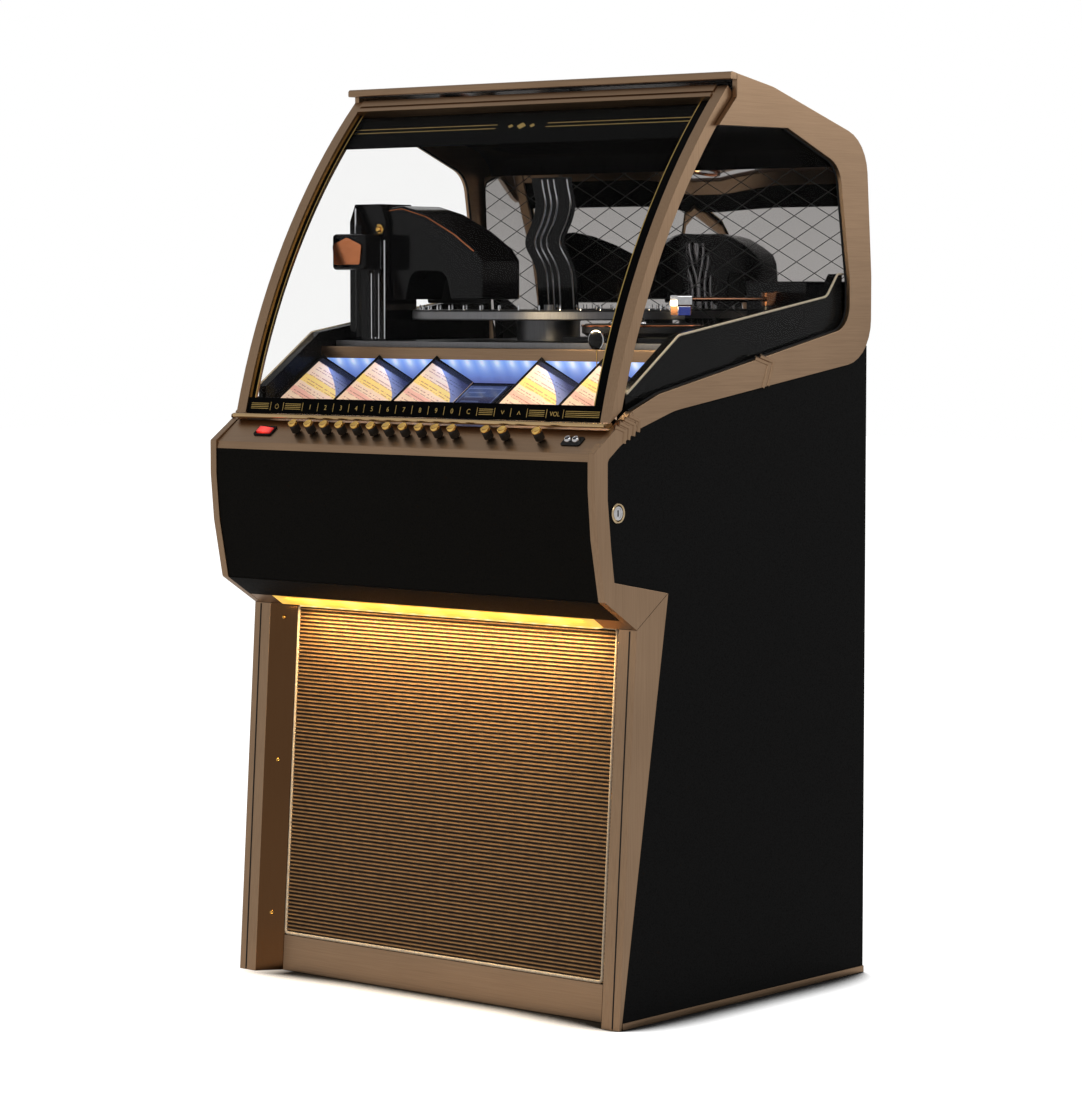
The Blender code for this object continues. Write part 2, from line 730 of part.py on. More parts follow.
def side_glasses():
    """Clear side windows, set behind the bands."""
    clear = PILLAR_DEPTH + DOOR_GAP
    front = DoorArc.path(clear, SIDE_GLASS_END, DoorArc.length - SIDE_GLASS_END)
    lap = beside(soften([
        at(WINDOW_FALL_SHARES), (at(WINDOW_LOW_SHARES), WINDOW_LOW_RADIUS),
        (at(WINDOW_MID_SHARES), WINDOW_TOP_RADIUS), (at(WINDOW_TOP_SHARES), WINDOW_TOP_RADIUS),
        at(GUSSET_REAR_SHARES),
    ], closed=False), -GLASS_LAP)
    outline = list(reversed(front)) + lap

    def make(side, sign):
        low, high = span(GLASS_INSIDE, GLASS_OUTSIDE, sign)
        across("side_glass_" + side, outline, low, high, CLEAR)

    pair(make)


def roof_and_back():
    """Top rail, the bent roof sheet, the mirror and the flat back panel."""
    front, rear = TOP_RAIL_FRONT, TOP_RAIL_REAR
    low = HEIGHT - TOP_RAIL_HEIGHT
    rail = soften([(Vector((front, HEIGHT)), TOP_RAIL_RADIUS), Vector((rear, crossing(ROOF_PATH, rear))),
                   Vector((rear, low)), (Vector((front, low)), TOP_RAIL_RADIUS / 2)])
    across("top_rail", rail, -HALF, HALF, BRONZE)
    end = ROOF_END_HEIGHT_SHARE * HEIGHT
    start = Vector((rear + SEAM, crossing(ROOF_PATH, rear + SEAM)))
    path = [start] + [point for point in ROOF_PATH if point.x > start.x and point.y > end]
    path += [Vector((DEPTH / 2, end))]
    sheet = strip(path, -ROOF_RECESS, -ROOF_RECESS - ROOF_THICKNESS)
    sheet[0].x = sheet[-1].x = start.x
    across("roof_panel", sheet, SEAM - BAND_FACE, BAND_FACE - SEAM, MATTE_BLACK)
    block("back_panel", (SEAM - BOARD_INSIDE, BACK_FRONT, BACK_LIFT), (BOARD_INSIDE - SEAM, BACK_REAR, end - SEAM),
          MATTE_BLACK)
    head = at(MIRROR_HEAD_SHARES)
    foot = Vector((along_depth(MIRROR_FOOT_SHARE), DECK_TOP + SEAM))
    back = Vector((MIRROR_THICKNESS, 0))
    across("mirror_panel", [foot, head, head + back, foot + back], GLASS_TO_LINER - GLASS_INSIDE,
           GLASS_INSIDE - GLASS_TO_LINER, MIRROR)


def lower_front():
    """Kick rail, grille panel, its piping and the lamp above it."""
    wall = HALF - LEG_FACE_WIDTH - RECESS_SPLAY - SEAM
    top = LEG_TOP.y

    def leaning(low, high, near, far):
        return [Vector((leg_line(z) + y, z)) for z, y in ((low, near), (high, near), (high, far), (low, far))]

    face = RECESS_DEPTH
    across("kick_rail", leaning(0, KICK_HEIGHT, face - KICK_PROUD, face - KICK_PROUD + KICK_THICKNESS),
           -wall, wall, BRONZE)
    across("grille_panel", leaning(KICK_HEIGHT + SEAM, top, face, face + GRILLE_THICKNESS), -wall, wall, GRILLE_CLOTH)
    lean = math.atan(LEG_LEAN)
    low, high = KICK_HEIGHT + SEAM, top
    middle = (low + high) / 2
    tall = (high - low) / math.cos(lean) / 2 - PIPING_PROUD
    rim = [(-wall, -tall), (wall, -tall), (wall, tall), (-wall, tall)]
    hole = [(x - math.copysign(PIPING_WIDTH, x), y - math.copysign(PIPING_WIDTH, y)) for x, y in rim]
    turn = Matrix.Rotation(math.pi / 2 - lean, 4, "X")
    centre = Vector((0, leg_line(middle) + face, middle))
    outward = Vector((0, -math.cos(lean), math.sin(lean)))
    place = Matrix.Translation(centre + outward * (PIPING_PROUD / 2 + SEAM)) @ turn
    extruded("grille_piping", [rim, hole], PIPING_PROUD, place, PIPING)
    rear = leg_line(top) + face - STRIP_LAMP_SETBACK
    lamp = STRIP_LAMP_WIDTH_SHARE * WIDTH
    block("strip_lamp", (-lamp / 2, rear - STRIP_LAMP_DEPTH, top - STRIP_LAMP_HEIGHT), (lamp / 2, rear, top), LAMP)
    backward = -outward
    height = SPEAKER_HEIGHT_SHARE * HEIGHT
    seat = Vector((0, leg_line(height) + face + GRILLE_THICKNESS + SEAM / math.cos(lean), height))
    axis = backward.to_track_quat("Z", "Y").to_matrix().to_4x4()
    basket = SPEAKER_RADIUS * SPEAKER_BASKET_SHARE
    profile = [
        (0, SPEAKER_DEPTH), (MAGNET_RADIUS, SPEAKER_DEPTH), (MAGNET_RADIUS, SPEAKER_DEPTH - MAGNET_DEPTH),
        (basket, SPEAKER_DEPTH * SPEAKER_WAIST_SHARE), (basket, SPEAKER_FLANGE),
        (SPEAKER_RADIUS, SPEAKER_FLANGE), (SPEAKER_RADIUS, 0), (0, 0),
    ]

    def make(side, sign):
        spot = seat + Vector((sign * SPEAKER_PLACE_SHARE * WIDTH, 0, 0))
        turned("speaker_" + side, profile, Matrix.Translation(spot) @ axis, STEEL, steps=32)

    pair(make)


def control_slope():
    """Return the middle of the control row, the slope's direction and its normal."""
    bend, top = at(CONTROL_BEND_SHARES), at(CONTROL_TOP_SHARES)
    run = (top - bend).normalized()
    middle = bend.lerp(top, CONTROL_ROW_SHARE)
    return (Vector((0, middle.x, middle.y)), Vector((0, run.x, run.y)), Vector((0, -run.y, run.x)))


def button_places():
    """Return the x of each push button: the row of eleven and the pair of steps."""
    shares = [BUTTON_ROW_START_SHARE + BUTTON_PITCH_SHARE * n for n in range(BUTTON_COUNT)]
    shares += [STEP_BUTTON_START_SHARE + BUTTON_PITCH_SHARE * n for n in range(STEP_BUTTON_COUNT)]
    return [share * WIDTH for share in shares]


def nose():
    """Front panel, sloping control panel with its holes, and the soffit."""
    bend = at(CONTROL_BEND_SHARES)
    lip = Vector((bend.x - FRONT_PANEL_RECESS, bend.y - CONTROL_LIP_HEIGHT))
    top = at(CONTROL_TOP_SHARES)
    tail = top + Vector((CONTROL_TAIL_DEPTH, FRONT_PANEL_RECESS))
    path = soften([lip, (bend, CONTROL_BEND_RADIUS), (top, CONTROL_BEND_RADIUS), tail], closed=False)
    outline = strip(path, 0, -CONTROL_THICKNESS)
    outline[-1].y = lip.y
    panel = as_mesh(across("control_panel", outline, -NOSE_HALF, NOSE_HALF), BRONZE)
    middle, run, normal = control_slope()
    frame = Matrix((Vector((1, 0, 0)), run, normal)).transposed().to_4x4()
    mesh = bpy.data.meshes.new("stem_holes")
    shape = bmesh.new()
    for x in button_places() + [VOLUME_PLACE_SHARE * WIDTH]:
        place = Matrix.Translation(middle + Vector((x, 0, 0))) @ frame
        bmesh.ops.create_cone(shape, cap_ends=True, segments=BUTTON_STEPS, radius1=STEM_HOLE_RADIUS,
                              radius2=STEM_HOLE_RADIUS, depth=2 * OVERRUN, matrix=place)
    length, width = ROCKER_LENGTH + 2 * ROCKER_END_GAP, ROCKER_WIDTH + 2 * RUNNING_GAP
    place = Matrix.Translation(middle + Vector((ROCKER_PLACE_SHARE * WIDTH, 0, 0))) @ frame
    bmesh.ops.create_cube(shape, size=1.0, matrix=place @ Matrix.Diagonal((length, width, 2 * OVERRUN, 1)))
    shape.to_mesh(mesh)
    shape.free()
    combine(panel, link_mesh("stem_holes", mesh), "DIFFERENCE")
    face = beside(soften([
        at(NOSE_FRONT_SHARES), at(NOSE_BELLY_SHARES), at(NOSE_LOW_SHARES),
    ], closed=False), FRONT_PANEL_RECESS)
    crown = Vector((lip.x, lip.y - SEAM))
    outline = strip([crown] + face, 0, FRONT_PANEL_THICKNESS)
    outline[-1].y = crown.y
    across("front_panel", outline, -NOSE_HALF, NOSE_HALF, VINYL)
    heel = outline[len(outline) // 2]
    level = LEG_TOP.y + SEAM
    below = Vector((0, -2 * SEAM))
    under = [face[-1] + below, Vector((LEG_TOP.x, level)), Vector((LEG_TOP.x + SOFFIT_TAIL_DEPTH, level))]
    above = list(reversed(beside(under, SOFFIT_THICKNESS)))[:-1]
    across("nose_soffit", under + above + [heel + below], -NOSE_HALF, NOSE_HALF, BRONZE)


def controls():
    """Push buttons, volume knob, power rocker and the cabinet lock."""
    middle, run, normal = control_slope()
    frame = Matrix((Vector((1, 0, 0)), run, normal)).transposed().to_4x4()
    top = BUTTON_LIFT + BUTTON_HEIGHT
    profile = [
        (0, top + BUTTON_CAP_HEIGHT), (BUTTON_CAP_RADIUS, top + BUTTON_CAP_HEIGHT), (BUTTON_CAP_RADIUS, top),
        (BUTTON_RADIUS, top), (BUTTON_RADIUS, BUTTON_LIFT), (STEM_RADIUS, BUTTON_LIFT), (STEM_RADIUS, -STEM_DEPTH),
        (0, -STEM_DEPTH),
    ]

    def place(x):
        return Matrix.Translation(middle + Vector((x, 0, 0))) @ frame

    for number, x in enumerate(button_places(), start=1):
        turned("push_button_%02d" % number, profile, place(x), GOLD, steps=BUTTON_STEPS)
    turned("volume_knob", profile, place(VOLUME_PLACE_SHARE * WIDTH), GOLD, steps=BUTTON_STEPS)
    rocker = block("power_rocker", (-ROCKER_LENGTH / 2, -ROCKER_WIDTH / 2, -ROCKER_THICKNESS / 2),
                   (ROCKER_LENGTH / 2, ROCKER_WIDTH / 2, ROCKER_THICKNESS / 2), RED, edge=ROCKER_EDGE)
    rocker.matrix_world = place(ROCKER_PLACE_SHARE * WIDTH) @ Matrix.Rotation(ROCKER_TILT, 4, "Y")
    lock = at(LOCK_SHARES)
    rod("lock_barrel", (LINER_INSIDE - LOCK_TAIL, lock.x, lock.y), (BOARD_OUTSIDE + LOCK_REACH, lock.x, lock.y),
        LOCK_RADIUS, CHROME, steps=16)


def door():
    """Curved glass door: pillars, sill, label strip, glass, header and head rail."""
    length = DoorArc.length
    outline = DoorArc.path(0, 0, length) + list(reversed(DoorArc.path(PILLAR_DEPTH, PILLAR_HEEL, length)))

    def pillar(side, sign):
        low, high = span(PILLAR_INSIDE, PILLAR_OUTSIDE, sign)
        across("door_pillar_" + side, outline, low, high, BRONZE)

    pair(pillar)
    foot = DoorArc.foot
    high = foot.y - SILL_DROP
    sill = soften([
        (Vector((foot.x - SILL_NOSE, high)), SILL_HEIGHT / 2), Vector((foot.x - SILL_NOSE + SILL_DEPTH, high)),
        Vector((foot.x - SILL_NOSE + SILL_DEPTH, high - SILL_HEIGHT)),
        (Vector((foot.x - SILL_NOSE, high - SILL_HEIGHT)), SILL_HEIGHT / 2),
    ])
    across("door_sill", sill, -NOSE_HALF, NOSE_HALF, BRONZE)
    label = DoorArc.band(LABEL_SETBACK, LABEL_SETBACK + LABEL_THICKNESS, SEAM, LABEL_HEIGHT)
    for corner in label:
        corner.y = max(corner.y, foot.y)
    across("label_strip", label, -DOOR_HALF, DOOR_HALF, GLOSS_BLACK)
    top = length - HEAD_RAIL_HEIGHT - SEAM
    across("door_glass", DoorArc.band(DOOR_GLASS_SETBACK, DOOR_GLASS_SETBACK + DOOR_GLASS_THICKNESS,
                                      LABEL_HEIGHT + SEAM, top), -DOOR_HALF, DOOR_HALF, CLEAR)
    behind = DOOR_GLASS_SETBACK + DOOR_GLASS_THICKNESS + SEAM
    across("door_header", DoorArc.band(behind, behind + HEADER_THICKNESS, top - HEADER_HEIGHT, top),
           -DOOR_HALF, DOOR_HALF, GLOSS_BLACK)
    low = length - HEAD_RAIL_HEIGHT
    marks = [(-HEAD_RAIL_PROUD, 0), (-HEAD_RAIL_PROUD, HEAD_GROOVE_START_SHARE),
             (HEAD_GROOVE_DEPTH - HEAD_RAIL_PROUD, HEAD_GROOVE_START_SHARE),
             (HEAD_GROOVE_DEPTH - HEAD_RAIL_PROUD, HEAD_GROOVE_END_SHARE),
             (-HEAD_RAIL_PROUD, HEAD_GROOVE_END_SHARE), (-HEAD_RAIL_PROUD, 1), (HEAD_RAIL_DEPTH, 1),
             (HEAD_RAIL_DEPTH, 0)]
    rail = [DoorArc.point(inward, low + share * HEAD_RAIL_HEIGHT) for inward, share in marks]
    across("door_head_rail", rail, -DOOR_HALF, DOOR_HALF, BRONZE)


def title_rack():
    """Tray of title cards on six ridges, with its rear rail, and the screen between."""
    front, rear = at(RACK_RIDGE_FRONT_SHARES), at(RACK_RIDGE_REAR_SHARES)
    run = rear - front
    slope = math.atan2(run.y, run.x)
    normal = Vector((-math.sin(slope), math.cos(slope)))
    outline = [(-ROOM_HALF, -TENT_HEIGHT - RACK_BASE_THICKNESS), (ROOM_HALF, -TENT_HEIGHT - RACK_BASE_THICKNESS)]
    wings = []
    pitch = TENT_PITCH_SHARE * ROOM_HALF
    for number in range(TENTS_PER_SIDE):
        start = TENT_START_SHARE * ROOM_HALF + pitch * number
        wings += [(start, -TENT_HEIGHT), (start + pitch / 2, 0)]
    fall = (ROOM_HALF - wings[-1][0]) / (pitch / 2)
    wings.append((ROOM_HALF, -TENT_HEIGHT * fall))
    outline += list(reversed(wings)) + [(-x, y) for x, y in wings]
    centre = (front + rear) / 2
    place = Matrix.Translation((0, centre.x, centre.y)) @ Matrix.Rotation(math.pi / 2 + slope, 4, "X")
    rack = as_mesh(extruded("title_rack", [outline], run.length, place), CREAM)
    along = run.normalized()
    back = rear - along * SEAM
    low_back = back - normal * (TENT_HEIGHT + RACK_BASE_THICKNESS / 2)
    heel = back - normal * ((rear.x + RACK_RAIL_THICKNESS - back.x) / -normal.x)
    top = rear.y + RACK_RAIL_RISE
    rail = [
        Vector((rear.x, top - RACK_RAIL_HEIGHT)), Vector((rear.x, top)), Vector((rear.x + RACK_RAIL_THICKNESS, top)),
        heel, low_back, low_back - along * RACK_BASE_THICKNESS,
    ]
    combine(rack, as_mesh(across("rack_rail", rail, -ROOM_HALF, ROOM_HALF)), "UNION")
    seat = centre - normal * (TENT_HEIGHT - SEAM - SCREEN_THICKNESS / 2)
    screen = block("display_screen", (-SCREEN_WIDTH / 2, -SCREEN_LENGTH / 2, -SCREEN_THICKNESS / 2),
                   (SCREEN_WIDTH / 2, SCREEN_LENGTH / 2, SCREEN_THICKNESS / 2), SCREEN, edge=SCREEN_EDGE)
    screen.matrix_world = Matrix.Translation((0, seat.x, seat.y)) @ Matrix.Rotation(slope, 4, "X")
    return rear.x + RACK_RAIL_THICKNESS


def deck(front):
    """Shelf that carries the record mechanism, behind the title rack."""
    rear = along_depth(MIRROR_FOOT_SHARE) + MIRROR_THICKNESS + SEAM
    block("mechanism_deck", (-ROOM_HALF, front + RUNNING_GAP, DECK_LOW), (ROOM_HALF, rear, DECK_TOP), WOOD)


def mechanism(front):
    """Base, tower with its lift carriage and hood, carousel, turntable and tone arm."""
    low = DECK_TOP + SEAM
    high = low + MECHANISM_BASE_THICKNESS
    side = ROOM_HALF - MECHANISM_SIDE_GAP
    near = front + MECHANISM_SIDE_GAP
    far = along_depth(MIRROR_FOOT_SHARE) - MECHANISM_REAR_GAP
    base = block("mechanism_base", (-side, near, low), (side, far, high), STEEL)
    tower_front = along_depth(TOWER_FRONT_SHARE)
    tower_rear = tower_front + TOWER_DEPTH
    wide, cap = TOWER_WIDTH_SHARE * ROOM_HALF / 2, TOWER_CAP_WIDTH / 2
    tower_place = TOWER_SIDE_GAP + wide - side
    carousel = CAROUSEL_RADIUS_SHARE * ROOM_HALF
    hub_y = far + MECHANISM_REAR_GAP - CAROUSEL_REAR_GAP - carousel
    clear = math.sqrt((carousel + CAROUSEL_TOWER_GAP) ** 2 - (hub_y - tower_rear) ** 2)
    hub = Vector((tower_place + wide + clear, hub_y, high - MECHANISM_BASE_THICKNESS / 2))
    disc_low = high + CAROUSEL_LIFT
    disc_high = disc_low + CAROUSEL_THICKNESS
    seat = disc_low - SEAM - hub.z
    axle = seat + AXLE_HEIGHT
    combine(base, turned("hub_post", [(0, axle), (AXLE_RADIUS, axle), (AXLE_RADIUS, seat), (HUB_RADIUS, seat),
                                      (HUB_RADIUS, 0), (0, 0)], Matrix.Translation(hub)), "UNION")
    bore = AXLE_RADIUS + RUNNING_GAP / 2
    rim = carousel - CAROUSEL_LIP
    tray = disc_high - CAROUSEL_LIP_DEPTH
    turned("record_carousel", [
        (bore, tray), (rim, tray), (rim, disc_high), (carousel, disc_high), (carousel, disc_low),
        (bore, disc_low),
    ], Matrix.Translation((hub.x, hub.y, 0)), GLOSS_BLACK, closed=True, steps=64)

    tower_top = TOWER_TOP_SHARE * HEIGHT
    shoulder = tower_top - TOWER_SHOULDER_DROP
    foot = high + SEAM
    silhouette = [(-wide, foot), (wide, foot), (wide, shoulder), (cap, tower_top), (-cap, tower_top), (-wide, shoulder)]
    place = Matrix.Translation((tower_place, (tower_front + tower_rear) / 2, 0)) @ INWARD
    tower = as_mesh(extruded("transfer_tower", [silhouette], TOWER_DEPTH, place), GLOSS_BLACK)
    for sign in (-1, 1):
        x = tower_place + sign * TOWER_RAIL_SPACING / 2
        depth = tower_front + TOWER_RAIL_SINK
        rail = rod("tower_rail", (x, depth, foot + TOWER_RAIL_RADIUS), (x, depth, shoulder - TOWER_RAIL_RADIUS),
                   TOWER_RAIL_RADIUS, steps=14)
        combine(tower, rail, "UNION")
    face = tower_front + TOWER_RAIL_SINK - TOWER_RAIL_RADIUS - SEAM
    bottom = CARRIAGE_LOW_SHARE * HEIGHT
    block("lift_carriage", (tower_place - CARRIAGE_WIDTH / 2, face - CARRIAGE_DEPTH, bottom),
          (tower_place + CARRIAGE_WIDTH / 2, face, bottom + CARRIAGE_HEIGHT), GLOSS_BLACK, edge=TOWER_RAIL_RADIUS)

    hood_low = disc_high + HOOD_FLOOR_GAP
    hood_high = tower_top - HOOD_TOP_DROP
    rise = hood_high - hood_low
    start = tower_place + wide + SEAM
    crown = [Vector((start + along * HOOD_LENGTH, hood_low + up * rise)) for along, up in HOOD_FALL_SHARES]
    middle = start + ARCH_PLACE_SHARE * HOOD_LENGTH
    narrow, bend = ARCH_WIDTH * ARCH_CROWN_SHARE / 2, ARCH_HEIGHT / 2
    arch = soften([
        Vector((middle + ARCH_WIDTH / 2, hood_low)), (Vector((middle + narrow, hood_low + ARCH_HEIGHT)), bend),
        (Vector((middle - narrow, hood_low + ARCH_HEIGHT)), bend), Vector((middle - ARCH_WIDTH / 2, hood_low)),
    ], closed=False)
    outline = crown + [Vector((start + HOOD_LENGTH, hood_low))] + arch + [Vector((start, hood_low))]
    place = Matrix.Translation((0, tower_front + HOOD_SETBACK + HOOD_DEPTH / 2, 0)) @ INWARD
    extruded("record_hood", [outline], HOOD_DEPTH, place, GLOSS_BLACK)
    turntable(near, far, side, high + SEAM)


def turntable(near, far, side, low):
    """Turntable base with its arm post and motor box, the platter and the tone arm."""
    high = low + TURNTABLE_BASE_THICKNESS
    base = block("turntable_base", (side - TURNTABLE_BASE_WIDTH, near, low), (side, far, high), GLOSS_BLACK)
    platter = Vector((side - PLATTER_INSET, along_depth(PLATTER_PLACE_SHARE), high + SEAM))
    motor_front = far - MOTOR_BOX_DEPTH
    pivot_y = motor_front - ARM_REAR_GAP - COUNTERWEIGHT_REACH - COUNTERWEIGHT_LENGTH
    pivot = Vector((side - ARM_PIVOT_INSET, pivot_y, high + ARM_LIFT))
    post = rod("arm_post", (pivot.x, pivot.y, low + TURNTABLE_BASE_THICKNESS / 2),
               (pivot.x, pivot.y, pivot.z - ARM_PIVOT_HEIGHT / 2 - SEAM), ARM_PIVOT_RADIUS)
    combine(base, post, "UNION")
    box = block("motor_box", (side - MOTOR_BOX_WIDTH, motor_front, low + TURNTABLE_BASE_THICKNESS / 2),
                (side - SEAM, far - SEAM, low + MOTOR_BOX_HEIGHT))
    combine(base, box, "UNION")
    top = PLATTER_THICKNESS
    turned("platter", [
        (0, top + SPINDLE_HEIGHT), (SPINDLE_RADIUS, top + SPINDLE_HEIGHT), (SPINDLE_RADIUS, top),
        (PLATTER_RADIUS, top), (PLATTER_RADIUS, top * PLATTER_RIM_SHARE), (PLATTER_RADIUS * PLATTER_FOOT_SHARE, 0), (0, 0),
    ], Matrix.Translation(platter), CHROME, steps=48)

    toward = Matrix.Rotation(ARM_SWING_OUT, 3, "Z") @ Vector((0, -1, 0))
    turn = toward.to_track_quat("X", "Z").to_matrix().to_4x4()
    place = Matrix.Translation(pivot)
    half = ARM_PIVOT_HEIGHT / 2
    arm = turned("tone_arm", drum(ARM_PIVOT_RADIUS, -half, half), place, BRONZE, steps=20)
    near, far = -COUNTERWEIGHT_REACH, -COUNTERWEIGHT_REACH - COUNTERWEIGHT_LENGTH
    along = toward.to_track_quat("Z", "Y").to_matrix().to_4x4()
    tube = turned("arm_tube", [
        (0, ARM_LENGTH), (ARM_TUBE_RADIUS, ARM_LENGTH), (ARM_TUBE_RADIUS, near), (COUNTERWEIGHT_RADIUS, near),
        (COUNTERWEIGHT_RADIUS, far), (0, far),
    ], place @ along, steps=14)
    combine(arm, tube, "UNION")
    head = block("arm_head", (ARM_LENGTH - ARM_HEAD_LENGTH, -ARM_HEAD_WIDTH / 2, ARM_TUBE_RADIUS - ARM_HEAD_HEIGHT),
                 (ARM_LENGTH + ARM_TUBE_RADIUS, ARM_HEAD_WIDTH / 2, ARM_TUBE_RADIUS + ARM_HEAD_LIP))
    head.matrix_world = place @ turn @ head.matrix_world
    combine(arm, head, "UNION")


def inside_the_cabinet():
    """Cabinet floor, the amplifier on it and the power inlet on the back."""
    front = leg_line(FLOOR_LIFT) + RECESS_DEPTH + KICK_THICKNESS + FLOOR_FRONT_GAP
    top = FLOOR_LIFT + FLOOR_THICKNESS
    block("cabinet_floor", (-ROOM_HALF, front, FLOOR_LIFT), (ROOM_HALF, BACK_FRONT - SEAM, top), WOOD)
    width, depth, height = AMPLIFIER_SIZE
    rear = BACK_FRONT - AMPLIFIER_REAR_GAP
    block("amplifier", (-width / 2, rear - depth, top + SEAM), (width / 2, rear, top + SEAM + height), STEEL)
    width, depth, height = INLET_SIZE
    block("power_inlet", (INLET_PLACE - width / 2, BACK_REAR + SEAM, INLET_HEIGHT - height / 2),
          (INLET_PLACE + width / 2, BACK_REAR + SEAM + depth, INLET_HEIGHT + height / 2), MATTE_BLACK)


def build():
    """Make every piece of the jukebox."""
    side_bands()
    nose_cheeks()
    legs()
    side_boards()
    side_glasses()
    roof_and_back()
    lower_front()
    nose()
    controls()
    door()
    rack_rear = title_rack()
    deck(rack_rear)
    mechanism(rack_rear)
    inside_the_cabinet()


build()
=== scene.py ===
"""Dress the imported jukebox: its shells, door, controls, record compartment and changer, and light it."""
import logging
import math
from dataclasses import dataclass
from enum import Enum
from typing import Any, Callable, Optional, Protocol, Sequence, Union

import bmesh
import bpy
import numpy as np
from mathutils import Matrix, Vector


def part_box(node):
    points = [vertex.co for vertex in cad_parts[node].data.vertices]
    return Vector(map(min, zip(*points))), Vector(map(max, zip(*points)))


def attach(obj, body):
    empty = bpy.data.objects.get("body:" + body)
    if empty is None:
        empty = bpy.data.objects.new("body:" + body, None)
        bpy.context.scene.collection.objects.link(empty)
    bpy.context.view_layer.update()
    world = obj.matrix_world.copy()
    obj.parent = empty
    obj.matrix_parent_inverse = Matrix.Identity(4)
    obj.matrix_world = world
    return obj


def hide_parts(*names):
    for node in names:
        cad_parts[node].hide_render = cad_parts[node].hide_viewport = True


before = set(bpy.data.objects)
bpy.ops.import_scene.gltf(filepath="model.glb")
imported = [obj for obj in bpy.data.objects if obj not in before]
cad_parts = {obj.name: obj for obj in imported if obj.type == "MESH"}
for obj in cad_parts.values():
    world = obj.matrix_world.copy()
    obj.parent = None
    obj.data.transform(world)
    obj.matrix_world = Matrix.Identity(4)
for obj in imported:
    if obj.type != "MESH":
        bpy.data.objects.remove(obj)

LOG = logging.getLogger("jukebox")
Colour = tuple[float, float, float]
Value = Union["Wire", float]
BACK_SCREW = ((0.0, 0.0022), (0.0016, 0.0020), (0.0018, 0.0012), (0.0030, 0.0020), (0.0046, 0.0008),
              (0.0048, -0.0006), (0.0, -0.0006))
RECESS_SCREW = ((0.0, 0.0012), (0.0012, 0.0010), (0.0014, 0.0004), (0.0024, 0.0014), (0.0038, 0.0002),
                (0.0040, -0.0008), (0.0, -0.0008))


def tone(red: int, green: int, blue: int) -> Colour:
    """Give the linear colour of three display values from 0 to 255.

    Args:
        red: Red as it shows on a display.
        green: Green as it shows on a display.
        blue: Blue as it shows on a display.

    Returns:
        The linear colour.
    """
    shown = np.array((red, green, blue)) / 255
    linear = np.where(shown <= 0.04045, shown / 12.92, ((shown + 0.055) / 1.055) ** 2.4)
    return tuple(float(part) for part in linear)


# --- Shader bench ----------------------------------------------------------------------------------------


class Wire:
    """One output of a node, which adds a Math node to its tree for each sum it is used in."""

    def __init__(self, bench: "Bench", socket: bpy.types.NodeSocket) -> None:
        """Keep the bench and the socket that this wire starts from."""
        self.bench = bench
        self.socket = socket

    def sum_with(self, operation: str, *values: Value, clamp: bool = False) -> "Wire":
        """Add a Math node.

        Args:
            operation: The Math node's operation.
            values: Its inputs, in order.
            clamp: Whether the result is kept from 0 to 1.

        Returns:
            The node's output.
        """
        inputs = dict(enumerate(values))
        return self.bench.wire(self.bench.node("ShaderNodeMath",
                                               {"operation": operation, "use_clamp": clamp}, inputs))

    def __add__(self, other: Value) -> "Wire":
        """Add."""
        return self.sum_with("ADD", self, other)

    __radd__ = __add__

    def __sub__(self, other: Value) -> "Wire":
        """Take away."""
        return self.sum_with("SUBTRACT", self, other)

    def __rsub__(self, other: Value) -> "Wire":
        """Be taken away."""
        return self.sum_with("SUBTRACT", other, self)

    def __mul__(self, other: Value) -> "Wire":
        """Multiply."""
        return self.sum_with("MULTIPLY", self, other)

    __rmul__ = __mul__

    def __truediv__(self, other: Value) -> "Wire":
        """Divide."""
        return self.sum_with("DIVIDE", self, other)

    def __pow__(self, other: Value) -> "Wire":
        """Raise to a power."""
        return self.sum_with("POWER", self, other)

    def __abs__(self) -> "Wire":
        """Drop the sign."""
        return self.sum_with("ABSOLUTE", self)

    def __lt__(self, other: Value) -> "Wire":
        """Give 1 where this is less."""
        return self.sum_with("LESS_THAN", self, other)

    def __gt__(self, other: Value) -> "Wire":
        """Give 1 where this is more."""
        return self.sum_with("GREATER_THAN", self, other)

    def sine(self) -> "Wire":
        """Give the sine."""
        return self.sum_with("SINE", self)

    def part(self) -> "Wire":
        """Give what stands after the point."""
        return self.sum_with("FRACT", self)

    def whole(self) -> "Wire":
        """Give the whole number below."""
        return self.sum_with("FLOOR", self)

    def swing(self, width: float) -> "Wire":
        """Go up to a width and back, over and over."""
        return self.sum_with("PINGPONG", self, width)

    def larger(self, other: Value) -> "Wire":
        """Give the larger of two."""
        return self.sum_with("MAXIMUM", self, other)

    def smaller(self, other: Value) -> "Wire":
        """Give the smaller of two."""
        return self.sum_with("MINIMUM", self, other)

    def kept(self) -> "Wire":
        """Keep from 0 to 1."""
        return self.sum_with("ADD", self, 0.0, clamp=True)

    def ease(self, low: float, high: float) -> "Wire":
        """Give 0 below low, 1 above high and a straight rise between them."""
        return ((self - low) / (high - low)).kept()


